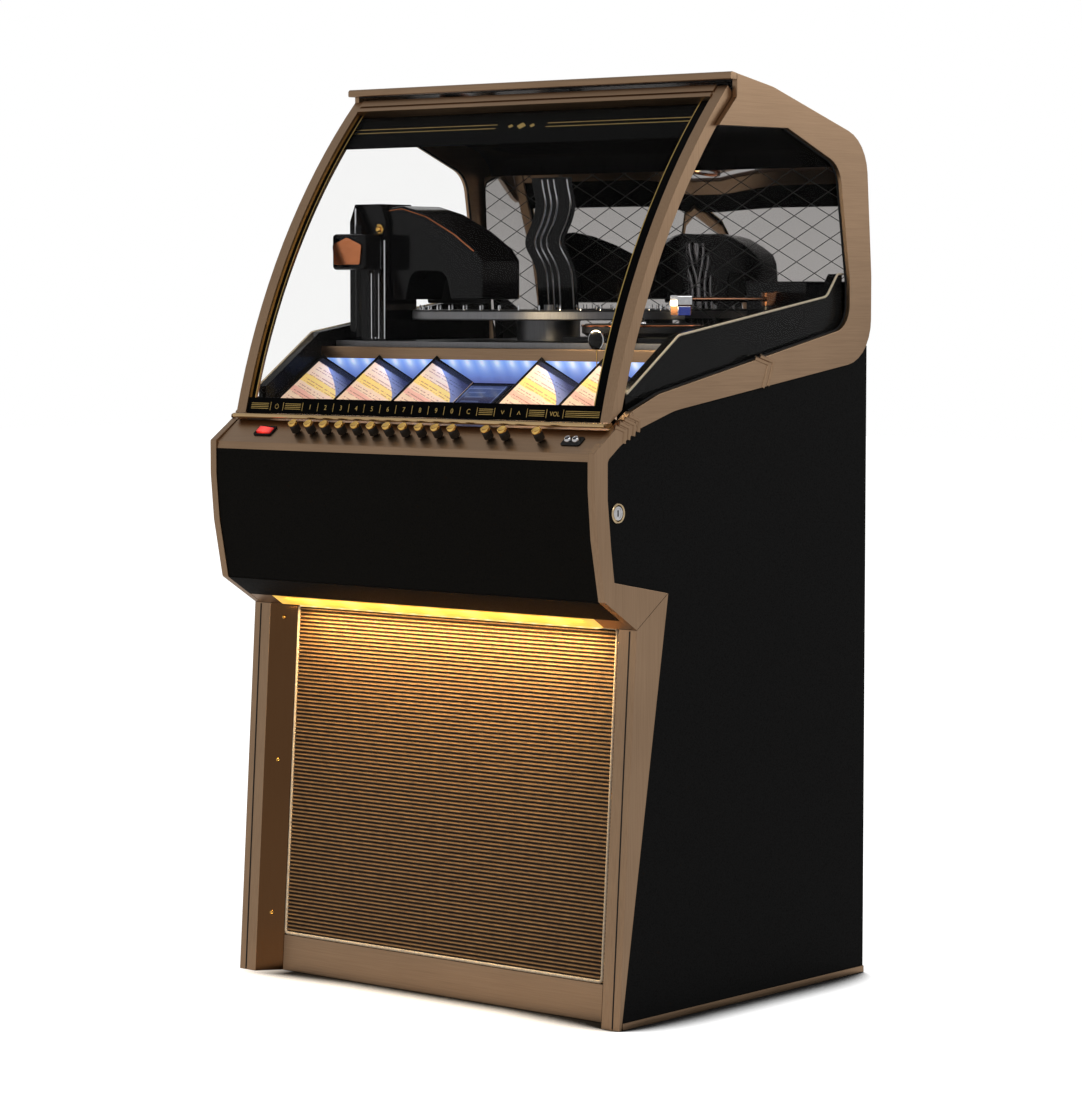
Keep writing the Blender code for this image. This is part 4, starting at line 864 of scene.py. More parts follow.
class Surface:
    """Grids of points gathered into one mesh, each with its finish."""

    def __init__(self) -> None:
        """Start with no points."""
        self.points: list = []
        self.faces: list = []
        self.marks: list = []
        self.maps: list = []
        self.count = 0

    def raw(self, points: np.ndarray, faces: list, finish: int = 0,
            maps: Optional[np.ndarray] = None) -> "Surface":
        """Add points with their faces.

        Args:
            points: Rows of x, y and z.
            faces: Faces as lists of row numbers.
            finish: The number of the finish.
            maps: Each point's own u and v.

        Returns:
            This surface.
        """
        self.points.append(np.asarray(points, dtype=float))
        self.faces += [[corner + self.count for corner in face] for face in faces]
        self.marks += [finish] * len(faces)
        self.maps.append(np.zeros((len(points), 2)) if maps is None else maps)
        self.count += len(points)
        return self

    def sheet(self, grid: np.ndarray, finish: int = 0, around: bool = False, along: bool = False,
              ends: bool = False) -> "Surface":
        """Add a grid of points P(i, j), with a face between each four neighbours.

        Args:
            grid: Points by row and column.
            finish: The number of the finish.
            around: Whether the last column joins the first.
            along: Whether the last row joins the first.
            ends: Whether the first and last rows are closed with a face.

        Returns:
            This surface.
        """
        rows, columns = grid.shape[:2]
        i = np.arange(rows if along else rows - 1)[:, None]
        j = np.arange(columns if around else columns - 1)[None, :]
        right, down = (j + 1) % columns, (i + 1) % rows
        corners = np.stack(np.broadcast_arrays(i * columns + j, i * columns + right, down * columns + right,
                                               down * columns + j), axis=-1)
        faces = corners.reshape(-1, 4).tolist()
        if ends:
            faces += [list(range(columns))[::-1], list(range((rows - 1) * columns, rows * columns))]
        v, u = np.meshgrid(np.linspace(0, 1, rows), np.linspace(0, 1, columns), indexing="ij")
        return self.raw(grid.reshape(-1, 3), faces, finish, np.stack([u.ravel(), v.ravel()], axis=1))

    def carried(self, profile: np.ndarray, path: np.ndarray, across: Sequence[float] = (1, 0, 0),
                closed: bool = False, finish: int = 0) -> "Surface":
        """Carry a profile along a path that lies square to a direction A.

        At each path point P with mean step T, (u, v) goes to P + u A + v N / cos(turn / 2), where
        N = A x T, so that corners are mitred.

        Args:
            profile: Closed outline, as rows of u and v.
            path: Rows of x, y and z.
            across: The direction A.
            closed: Whether the path joins its start.
            finish: The number of the finish.

        Returns:
            This surface.
        """
        path = np.asarray(path, dtype=float)
        side = np.asarray(across, dtype=float)
        side = side / np.linalg.norm(side)
        ahead = np.roll(path, -1, axis=0) - path
        behind = path - np.roll(path, 1, axis=0)
        if not closed:
            ahead[-1], behind[0] = behind[-1], ahead[0]
        ahead /= np.linalg.norm(ahead, axis=1, keepdims=True)
        behind /= np.linalg.norm(behind, axis=1, keepdims=True)
        step = ahead + behind
        step /= np.linalg.norm(step, axis=1, keepdims=True)
        stretch = 1 / np.clip((step * ahead).sum(axis=1), 0.3, 1)
        out = np.cross(side, step) * stretch[:, None]
        grid = path[:, None, :] + profile[None, :, :1] * side + profile[None, :, 1:2] * out[:, None, :]
        return self.sheet(grid, finish, around=True, along=closed, ends=not closed)

    def turned(self, profile: np.ndarray, centre: Sequence[float], axis: Sequence[float] = (0, 0, 1),
               steps: int = 32, finish: int = 0, flutes: int = 0, cut: float = 0.0) -> "Surface":
        """Turn a profile of radius and height about an axis.

        Each (r, h) goes to C + h W + r (1 - cut |sin(flutes t / 2)|) (U cos t + V sin t).
        A radius of 0 closes it.

        Args:
            profile: Rows of radius and height.
            centre: The place of height 0.
            axis: The direction W.
            steps: Faces round the turn.
            finish: The number of the finish.
            flutes: How many flutes run round it.
            cut: How deep a flute is, as a share of the radius.

        Returns:
            This surface.
        """
        profile = np.asarray(profile, dtype=float)
        u, v, w = axes_for(axis)
        t = np.linspace(0, 2 * math.pi, steps, endpoint=False)
        ring = np.cos(t)[:, None] * u + np.sin(t)[:, None] * v
        swell = 1 - cut * np.abs(np.sin(flutes * t / 2))
        reach = profile[:, None, :1] * ring[None] * swell[None, :, None]
        grid = np.asarray(centre) + profile[:, None, 1:2] * w + reach
        return self.sheet(grid, finish, around=True)

    def slab(self, outline: np.ndarray, origin: Sequence[float], u: Sequence[float], v: Sequence[float],
             thick: float, finish: int = 0) -> "Surface":
        """Give a flat outline a thickness: P = O + a U + b V, then the same moved by thick along U x V.

        Args:
            outline: Rows of a and b.
            origin: The place O.
            u: The direction U.
            v: The direction V.
            thick: The thickness, in metres.
            finish: The number of the finish.

        Returns:
            This surface.
        """
        u, v = np.asarray(u, dtype=float), np.asarray(v, dtype=float)
        flat = np.asarray(origin) + outline[:, :1] * u + outline[:, 1:2] * v
        lift = np.cross(u, v)
        lift = lift / np.linalg.norm(lift) * thick
        return self.sheet(np.stack([flat, flat + lift]), finish, around=True, ends=True)

    def words(self, text: str, size: float, origin: Sequence[float], u: Sequence[float], v: Sequence[float],
              thick: float, finish: int = 0) -> "Surface":
        """Set plain figures on a face.

        Args:
            text: What is set.
            size: The height of a capital, in metres.
            origin: The middle of the text's foot.
            u: The direction of reading.
            v: The direction up the letters.
            thick: How far they stand out.
            finish: The number of the finish.

        Returns:
            This surface.
        """
        curve = bpy.data.curves.new("figures", "FONT")
        curve.body, curve.size, curve.align_x, curve.resolution_u = text, size, "CENTER", 3
        thing = bpy.data.objects.new("figures", curve)
        mesh = bpy.data.meshes.new_from_object(thing)
        flat = np.empty(len(mesh.vertices) * 3)
        mesh.vertices.foreach_get("co", flat)
        flat = flat.reshape(-1, 3)
        faces = [list(face.vertices) for face in mesh.polygons]
        bpy.data.objects.remove(thing)
        u, v = np.asarray(u, dtype=float), np.asarray(v, dtype=float)
        points = np.asarray(origin) + flat[:, :1] * u + flat[:, 1:2] * v
        lift = np.cross(u, v) * thick
        self.raw(points + lift, faces, finish)
        return self

    def placed(self, name: str, *finishes: Finish, main: Optional[Finish] = None, body: str = "cabinet",
               nodes: Sequence[str] = (), **shape: Any) -> bpy.types.Object:
        """Make the object and set it on its body.

        Args:
            name: The object's name.
            finishes: Its finishes, in the order of its faces' numbers.
            main: Its main finish, the first by default.
            body: The body that it rides on.
            nodes: The CAD nodes that it replaces.
            shape: What made() takes besides.

        Returns:
            The object.
        """
        return settle(self.made(name, finishes, **shape), main or finishes[0], body, *nodes)

    def made(self, name: str, finishes: Sequence[Finish], corner: float = 40.0, ease: float = 0.0,
             facing: Optional[Sequence[float]] = None) -> bpy.types.Object:
        """Join the gathered points into an object.

        Args:
            name: The object's name.
            finishes: Its finishes, in the order of their numbers.
            corner: Edges that turn more than this, in degrees, stay sharp.
            ease: The width that sharp edges are rounded by, in metres.
            facing: A direction that an open sheet faces.

        Returns:
            The object.
        """
        mesh = bpy.data.meshes.new(name)
        points = np.concatenate(self.points)
        mesh.from_pydata(points.tolist(), [], self.faces)
        mesh.polygons.foreach_set("material_index", self.marks)
        layer = mesh.uv_layers.new(name="own")
        corners = np.empty(len(mesh.loops), dtype=np.int32)
        mesh.loops.foreach_get("vertex_index", corners)
        layer.data.foreach_set("uv", np.concatenate(self.maps)[corners].ravel())
        return finished(mesh, name, finishes, corner, ease, facing)


def finished(mesh: bpy.types.Mesh, name: str, finishes: Sequence[Finish], corner: float, ease: float,
             facing: Optional[Sequence[float]] = None) -> bpy.types.Object:
    """Merge, face outwards, ease and smooth a mesh, and give it its finishes.

    Args:
        mesh: The mesh.
        name: The object's name.
        finishes: Its finishes.
        corner: Edges that turn more than this, in degrees, stay sharp.
        ease: The width that sharp edges are rounded by, in metres.
        facing: A direction that an open sheet faces.

    Returns:
        The object.
    """
    shape = bmesh.new()
    shape.from_mesh(mesh)
    bmesh.ops.remove_doubles(shape, verts=shape.verts, dist=1e-6)
    bmesh.ops.recalc_face_normals(shape, faces=shape.faces)
    if facing is not None:
        lean = sum((face.normal * face.calc_area() for face in shape.faces), Vector())
        if lean.dot(Vector(facing)) < 0:
            bmesh.ops.reverse_faces(shape, faces=shape.faces)
    if ease > 0:
        bmesh.ops.dissolve_limit(shape, angle_limit=math.radians(0.4), verts=shape.verts, edges=shape.edges)
        sharp = [edge for edge in shape.edges
                 if len(edge.link_faces) == 2 and edge.calc_face_angle(0.0) > math.radians(30)]
        bmesh.ops.bevel(shape, geom=sharp, offset=ease, segments=2, profile=0.5, affect="EDGES",
                        clamp_overlap=True)
    shape.to_mesh(mesh)
    shape.free()
    mesh.polygons.foreach_set("use_smooth", [True] * len(mesh.polygons))
    mesh.set_sharp_from_angle(angle=math.radians(corner))
    if mesh.materials:
        mesh.materials.clear()
    for finish in finishes:
        mesh.materials.append(material(finish))
    thing = bpy.data.objects.new(name, mesh)
    bpy.context.scene.collection.objects.link(thing)
    if ease > 0:
        thing.modifiers.new("even_normals", "WEIGHTED_NORMAL").keep_sharp = True
    return thing


def settle(thing: bpy.types.Object, finish: Finish, body: str = "cabinet", *nodes: str) -> bpy.types.Object:
    """Give a finished piece its body, and report it.

    Args:
        thing: The piece.
        finish: Its main finish; not used.
        body: The body that it rides on.
        nodes: The CAD nodes that it stands for.

    Returns:
        The piece.
    """
    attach(thing, body)
    if nodes:
        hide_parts(*nodes)
    LOG.info("%s on %s, %d faces", thing.name, body, len(thing.data.polygons))
    return thing


def eased(node: str, finish: Finish, body: str = "cabinet", ease: float = 0.0006,
          corner: float = 40.0) -> bpy.types.Object:
    """Stand for a CAD node with a copy whose sharp edges are a little rounded.

    Args:
        node: The CAD node.
        finish: Its finish.
        body: The body that it rides on.
        ease: The width that sharp edges are rounded by.
        corner: Edges that turn more than this, in degrees, stay sharp.

    Returns:
        The copy.
    """
    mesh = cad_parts[node].data.copy()
    if "custom_normal" in mesh.attributes:
        mesh.attributes.remove(mesh.attributes["custom_normal"])
    return settle(finished(mesh, node + "_shell", [finish], corner, ease), finish, body, node)


@dataclass(frozen=True)
class DoorArc:
    """The round side view of the door's face, from its foot to its head."""

    foot: tuple[float, float] = SIDE.at(0.0709, 0.6320)
    head: tuple[float, float] = SIDE.at(0.4739, 0.9850)
    sag: float = 0.040

    def point(self, inward: float, travel: np.ndarray) -> np.ndarray:
        """Give places behind the face.

        The arc has radius R = c^2 / 8s + s / 2 for chord c and sag s. A place d behind the face and a
        travel l up from its foot is M + (R - d) (F cos a - C sin a), where a = h - l / R, h is half the
        arc's angle, C the chord's direction and F the way forward.

        Args:
            inward: The distance d behind the face.
            travel: The travels l.

        Returns:
            Rows of y and z.
        """
        foot, head = np.array(self.foot), np.array(self.head)
        chord = head - foot
        length = float(np.linalg.norm(chord))
        chord = chord / length
        radius = length ** 2 / (8 * self.sag) + self.sag / 2
        forward = np.array((-chord[1], chord[0]))
        middle = (foot + head) / 2 + forward * (self.sag - radius)
        a = (math.asin(length / (2 * radius)) - np.asarray(travel, dtype=float) / radius)[:, None]
        return middle + (radius - inward) * (forward * np.cos(a) - chord * np.sin(a))

    def path(self, inward: float, low: float, high: float, steps: int = 48) -> np.ndarray:
        """Give a run of places between two travels."""
        return self.point(inward, np.linspace(low, high, steps + 1))


ARC = DoorArc()
ARC_LENGTH = 0.6252


# --- Cabinet ---------------------------------------------------------------------------------------------


@dataclass
class Cabinet:
    """Side boards, bands, roof and back, with their trims."""

    half: float = 0.424
    trim_height: float = 0.011
    trim_front: float = -0.3000
    trim_rear: float = 0.3638
    ridge_height: float = 0.0021
    ridge_width: float = 0.0078
    fan: tuple = (
        ((-0.3205, 0.9615), (-0.2975, 0.9545), (-0.2990, 0.9345)),
        ((-0.3100, 0.9675), (-0.2855, 0.9590), (-0.2880, 0.9400)),
        ((-0.2990, 0.9730), (-0.2725, 0.9640), (-0.2755, 0.9455)),
        ((-0.2880, 0.9785), (-0.2600, 0.9695), (-0.2635, 0.9515)),
    )
    chevron: tuple = (
        ((0.0561, 1.0676), (0.0948, 1.0572), (0.0785, 1.0178)),
        ((0.0424, 1.0645), (0.0810, 1.0541), (0.0647, 1.0148)),
    )
    window: tuple = ((0.1258, 0.6438), (0.2195, 0.6608), (0.9140, 0.7280), (0.9150, 0.7780),
                     (0.8730, 0.9050), (0.6750, 0.9428))
    window_radii: tuple = (0.0, 0.0, 0.045, 0.050, 0.050, 0.0)
    gasket_at: float = 0.4150
    gasket_radius: float = 0.0021
    board: float = 0.4212
    back: float = 0.3645
    screw_rows: tuple = (0.035, 0.40, 0.76, 1.10)
    screw_columns: tuple = (-0.385, 0.0, 0.385)

    def build(self) -> None:
        """Build the cabinet's shell."""
        for side, sign in (("left", -1), ("right", 1)):
            eased("side_panel_" + side, SIDE_CLOTH, ease=0.0008)
            eased("side_band_" + side, BRONZE_DEPTH, ease=0.0009)
            self.foot_trim(side, sign)
            self.ridges(side, sign)
            self.gasket(side, sign)
        eased("roof_panel", CEILING, ease=0.0006)
        eased("top_rail", BRONZE_ACROSS, ease=0.0008)
        eased("back_panel", BLACK_BOARD, ease=0.0008)
        eased("cabinet_floor", BARE_BOARD, ease=0.0005)
        self.back_screws()

    def foot_trim(self, side: str, sign: int) -> None:
        """Lay the bronze strip along the foot of a side board.

        Args:
            side: The side's name.
            sign: -1 for the left, 1 for the right.
        """
        path = np.array([(sign * self.board, self.trim_front, self.trim_height / 2),
                         (sign * self.board, self.trim_rear, self.trim_height / 2)])
        section = box_profile(0.0, -self.trim_height / 2, 0.0026, self.trim_height / 2)
        section[:, 0] *= sign
        Surface().carried(section, path).placed("foot_trim_" + side, BRONZE_DEPTH, ease=0.0005)

    def ridges(self, side: str, sign: int) -> None:
        """Raise the fan of ridges at the band's joint and the pair in its middle.

        Args:
            side: The side's name.
            sign: -1 for the left, 1 for the right.
        """
        surface = Surface()
        section = np.array([(-0.0006, -0.5 * self.ridge_width),
                            (self.ridge_height * 0.6, -0.35 * self.ridge_width),
                            (self.ridge_height, 0.15 * self.ridge_width),
                            (-0.0006, 0.5 * self.ridge_width)])
        section[:, 0] *= sign
        for line in self.fan + self.chevron:
            path = rounded(np.array(line), (0.0, 0.0015, 0.0), 3)
            surface.carried(section, upright(path, sign * self.half))
        surface.placed("band_ridges_" + side, BRONZE_UP, corner=25)

    def gasket(self, side: str, sign: int) -> None:
        """Lay the black gasket between a band and its side window.

        Args:
            side: The side's name.
            sign: -1 for the left, 1 for the right.
        """
        path = rounded(SIDE.path(*self.window), self.window_radii, 12)
        surface = Surface().carried(circle(self.gasket_radius, 10), upright(path, sign * self.gasket_at))
        surface.placed("window_gasket_" + side, RUBBER)

    def back_screws(self) -> None:
        """Set the round-headed screws that hold the back board."""
        surface = Surface()
        for z in self.screw_rows:
            for x in self.screw_columns:
                surface.turned(BACK_SCREW, (x, self.back, z), (0, 1, 0), 12)
        surface.placed("back_screws", STEEL)


# --- Lower front -----------------------------------------------------------------------------------------


@dataclass
class LowerFront:
    """Ribbed grille in its piping, kick rail, legs, lamp and recess screws."""

    half: float = 0.3567
    foot: float = 0.0618
    top: float = 0.6366
    lean_foot: float = -0.30948
    lean_top: float = -0.26653
    lean_height: float = 0.63694
    recess: float = 0.040
    board: float = 0.012
    ribs: int = 87
    rib_height: float = 0.0026
    steps: int = 8
    cord: float = 0.0029
    groove_half: float = 0.0012
    groove_at: float = 0.4095
    wall: float = 0.3873
    screw_inset: float = 0.0150
    screw_heights: tuple = (0.100, 0.365, 0.612)

    def line(self, z: Union[float, np.ndarray]) -> Union[float, np.ndarray]:
        """Give the y of the legs' front line at a height."""
        return self.lean_foot + (self.lean_top - self.lean_foot) * z / self.lean_height

    def build(self) -> None:
        """Build the lower front."""
        self.grille()
        self.piping()
        eased("kick_rail", BRONZE_ACROSS, ease=0.0010)
        for side, sign in (("left", -1), ("right", 1)):
            eased("leg_" + side, BRONZE_LEG, ease=0.0007)
            self.leg_groove_shade(side, sign)
            self.recess_screws(side, sign)
        eased("strip_lamp", WARM_ROW, ease=0.0010)
        for side in ("left", "right"):
            eased("speaker_" + side, CAST, ease=0.0008)
        eased("amplifier", CAST, ease=0.0012)
        eased("power_inlet", SATIN, ease=0.0008)

    def grille(self) -> None:
        """Build the ribbed board: depth = rib height times the root of |sin(pi v)|, for rib number v."""
        v = np.linspace(0, self.ribs, self.ribs * self.steps + 1)
        z = self.foot + (self.top - self.foot) * v / self.ribs
        swell = self.rib_height * np.sqrt(np.abs(np.sin(math.pi * v)))
        front = np.column_stack([self.line(z) + self.recess - swell, z])
        rear = np.array([(self.line(zed) + self.recess + self.board, zed) for zed in (self.top, self.foot)])
        outline = np.concatenate([front, rear])
        grid = np.stack([upright(outline, x) for x in (-self.half, self.half)])
        surface = Surface().sheet(grid, around=True, ends=True)
        surface.placed("grille_cloth", GRILLE, nodes=("grille_panel",), corner=75)

    def piping(self) -> None:
        """Run the pale cord round the grille, in its leaning plane."""
        low, high = self.foot + self.cord, self.top - self.cord
        side = self.half - self.cord
        corners = np.array([(-side, 0, low), (side, 0, low), (side, 0, high), (-side, 0, high)])
        corners[:, 1] = self.line(corners[:, 2]) + self.recess - 0.0012
        lean = math.atan((self.lean_top - self.lean_foot) / self.lean_height)
        path = rounded(corners, (0.006,) * 4, 6, closed=True)
        surface = Surface().carried(circle(self.cord, 12), path, (0, -math.cos(lean), math.sin(lean)),
                                    closed=True)
        surface.placed("grille_piping_cord", PIPING, nodes=("grille_piping",))

    def leg_groove_shade(self, side: str, sign: int) -> None:
        """Lay a black strip as painted shade in the sunken seam between a leg's side plate and its front
        face.

        Args:
            side: The side's name.
            sign: -1 for the left, 1 for the right.
        """
        z = np.array((0.0015, self.lean_height - 0.002))
        path = np.column_stack([np.full(2, sign * self.groove_at), self.line(z), z])
        section = np.array([(-self.groove_half, -0.0006), (self.groove_half, -0.0006),
                            (self.groove_half, 0.0004), (-self.groove_half, 0.0004)])
        Surface().carried(section, path).placed("leg_groove_" + side, RUBBER, ease=0.0002)

    def recess_screws(self, side: str, sign: int) -> None:
        """Set the small gold screws in a recess wall.

        Args:
            side: The side's name.
            sign: -1 for the left, 1 for the right.
        """
        surface = Surface()
        for z in self.screw_heights:
            y = self.line(z) + self.recess * 0.5
            centre = (sign * (self.wall - self.screw_inset), y, z)
            surface.turned(RECESS_SCREW, centre, (-sign * 0.8, -0.6, 0), 14)
        surface.placed("recess_screws_" + side, GOLD)


# --- Nose and controls -----------------------------------------------------------------------------------


@dataclass
class Nose:
    """Front panel, cheeks, sloping control panel and soffit."""

    half: float = 0.4094
    chin_front: tuple[float, float] = (-0.3446, 0.6858)
    chin_rear: tuple[float, float] = (-0.2665, 0.6372)
    cloth_share: float = 0.66

    def build(self) -> None:
        """Build the nose."""
        eased("front_panel", FRONT_CLOTH, ease=0.0008)
        eased("control_panel", BRONZE_ACROSS, ease=0.0004)
        eased("nose_soffit", BRONZE_ACROSS, ease=0.0006)
        for side in ("left", "right"):
            eased("nose_cheek_" + side, BRONZE_UP, ease=0.0010)
        self.chin_cloth()

    def chin_cloth(self) -> None:
        """Wrap the black cloth round the chin, as far back as a share of the soffit's slope, and cover the
        rest with a strip glowing gold as painted light.
        """
        front, rear = np.array(self.chin_front), np.array(self.chin_rear)
        run = (rear - front) / np.linalg.norm(rear - front)
        below = np.array((run[1], -run[0])) * 0.0010
        edge = front + (rear - front) * self.cloth_share
        outline = np.array([front - run * 0.0003 - below * 0.3, edge - below * 0.3, edge + below * 0.6,
                            edge - run * 0.0010 + below, front + below])
        grid = np.stack([upright(outline, x) for x in (-self.half, self.half)])
        Surface().sheet(grid, around=True, ends=True).placed("chin_cloth", FRONT_CLOTH)
        # Painted light: the gold glowing strip on the soffit's rear.
        outline = np.array([edge + run * 0.0003 - below * 0.3, rear - run * 0.0012 - below * 0.3,
                            rear - run * 0.0012 + below * 0.7, edge + run * 0.0003 + below * 0.7])
        half = self.half - 0.0530
        grid = np.stack([upright(outline, x) for x in (-half, half)])
        Surface().sheet(grid, around=True, ends=True).placed("chin_glow", GOLD_GLOW)


@dataclass
class Controls:
    """Push buttons, volume knob, rocker, sockets and lock on the nose."""

    middle: tuple[float, float] = (-0.34478, 0.93728)
    run: tuple[float, float] = (0.80685, 0.59076)
    first: float = -0.2444
    pitch: float = 0.0356
    row: int = 11
    steps: tuple[float, float] = (0.1840, 0.2196)
    volume: float = 0.2915
    rocker: float = -0.3195
    sockets: tuple[float, float] = (0.3490, 0.3650)
    lock: tuple[float, float] = SIDE.at(0.0830, 0.5392)
    board: float = 0.4212

    def seat(self, x: float, along: float = 0.0, lift: float = 0.0) -> np.ndarray:
        """Give a place on the slope: middle plus along the run and lift off it."""
        y = self.middle[0] + along * self.run[0] - lift * self.run[1]
        return np.array((x, y, self.middle[1] + along * self.run[1] + lift * self.run[0]))

    @property
    def normal(self) -> tuple[float, float, float]:
        """Give the slope's outward direction."""
        return (0.0, -self.run[1], self.run[0])

    @property
    def upward(self) -> tuple[float, float, float]:
        """Give the direction up the slope."""
        return (0.0, self.run[0], self.run[1])

    def build(self) -> None:
        """Build the controls."""
        places = [self.first + self.pitch * number for number in range(self.row)] + list(self.steps)
        for number, x in enumerate(places, start=1):
            self.button("push_button_%02d" % number, "button_%02d" % number, x)
        self.button("volume_knob", "volume_knob", self.volume)
        self.rocker_switch()
        self.socket_pair()
        self.side_lock()

    def button(self, node: str, body: str, x: float) -> None:
        """Build a button: a fluted black skirt under a dished gold cap.

        Args:
            node: The CAD node that it stands for.
            body: The body that it rides on.
            x: Its place along the row.
        """
        skirt = [(0.0, -0.0120), (0.0036, -0.0120), (0.0040, -0.0114), (0.0040, 0.0032), (0.0078, 0.0032),
                 (0.0082, 0.0038), (0.0080, 0.0180), (0.0, 0.0182)]
        cap = [(0.0, 0.0178), (0.0080, 0.0178), (0.0083, 0.0184), (0.0082, 0.0214), (0.0076, 0.0225),
               (0.0066, 0.0227), (0.0050, 0.0216), (0.0026, 0.0209), (0.0, 0.0207)]
        surface = Surface().turned(skirt, self.seat(x), self.normal, 72, flutes=24, cut=0.055)
        surface.turned(cap, self.seat(x), self.normal, 32, finish=1)
        surface.placed(node + "_dressed", SKIRT, GOLD, body=body, nodes=(node,), corner=35)

    def rocker_switch(self) -> None:
        """Build the red rocker and the black frame round it."""
        eased("power_rocker", RED, "power_rocker", ease=0.0014)
        outer = rounded(box_profile(-0.0190, -0.0104, 0.0190, 0.0104), (0.0025,) * 4, 5, closed=True)
        path = np.array([self.seat(self.rocker + a, b, 0.0010) for a, b in outer])
        section = np.array([(-0.0012, -0.0016), (0.0016, -0.0014), (0.0022, 0.0000), (0.0014, 0.0022),
                            (-0.0012, 0.0024)])
        surface = Surface().carried(section, path, self.normal, closed=True)
        surface.placed("rocker_frame", SATIN)

    def socket_pair(self) -> None:
        """Build the two chrome sockets on their black plate."""
        surface = Surface()
        plate = rounded(box_profile(-0.0200, -0.0110, 0.0200, 0.0110), (0.0050,) * 4, 6, closed=True)
        surface.slab(plate, self.seat(sum(self.sockets) / 2, 0.0, 0.0001), (1, 0, 0), self.upward, 0.0016)
        ring = [(0.0, -0.0010), (0.0066, -0.0010), (0.0068, 0.0030), (0.0062, 0.0058), (0.0050, 0.0070),
                (0.0040, 0.0066), (0.0034, 0.0040), (0.0034, -0.0004), (0.0, -0.0004)]
        for x in self.sockets:
            surface.turned(ring, self.seat(x, 0.0, 0.0012), self.normal, 28, finish=1, flutes=6, cut=0.05)
        surface.placed("socket_pair", SATIN, CHROME, main=CHROME, corner=35)

    def side_lock(self) -> None:
        """Build the lock's barrel with its key slot, and the plated ring round it."""
        y, z = self.lock
        barrel = [(0.0, -0.0400), (0.0118, -0.0400), (0.0122, -0.0390), (0.0122, -0.0004), (0.0110, 0.0014),
                  (0.0086, 0.0018), (0.0080, 0.0006), (0.0, 0.0008)]
        surface = Surface().turned(barrel, (self.board - 0.0002, y, z), (1, 0, 0), 40)
        slot = np.array([(-0.0012, -0.0050), (0.0012, -0.0050), (0.0012, 0.0050), (-0.0012, 0.0050)])
        surface.slab(slot, (self.board, y, z), (0, 1, 0), (0, 0, 1), 0.0009, finish=1)
        surface.placed("lock_barrel_dressed", CHROME, SATIN, body="lock", nodes=("lock_barrel",))
        ring = [(0.0128, -0.0002), (0.0160, -0.0002), (0.0162, 0.0010), (0.0152, 0.0022), (0.0136, 0.0022),
                (0.0128, 0.0012), (0.0128, -0.0002)]
        Surface().turned(ring, (self.board, y, z), (1, 0, 0), 48).placed("lock_ring", PALE_GOLD)


# --- Door ------------------------------------------------------------------------------------------------


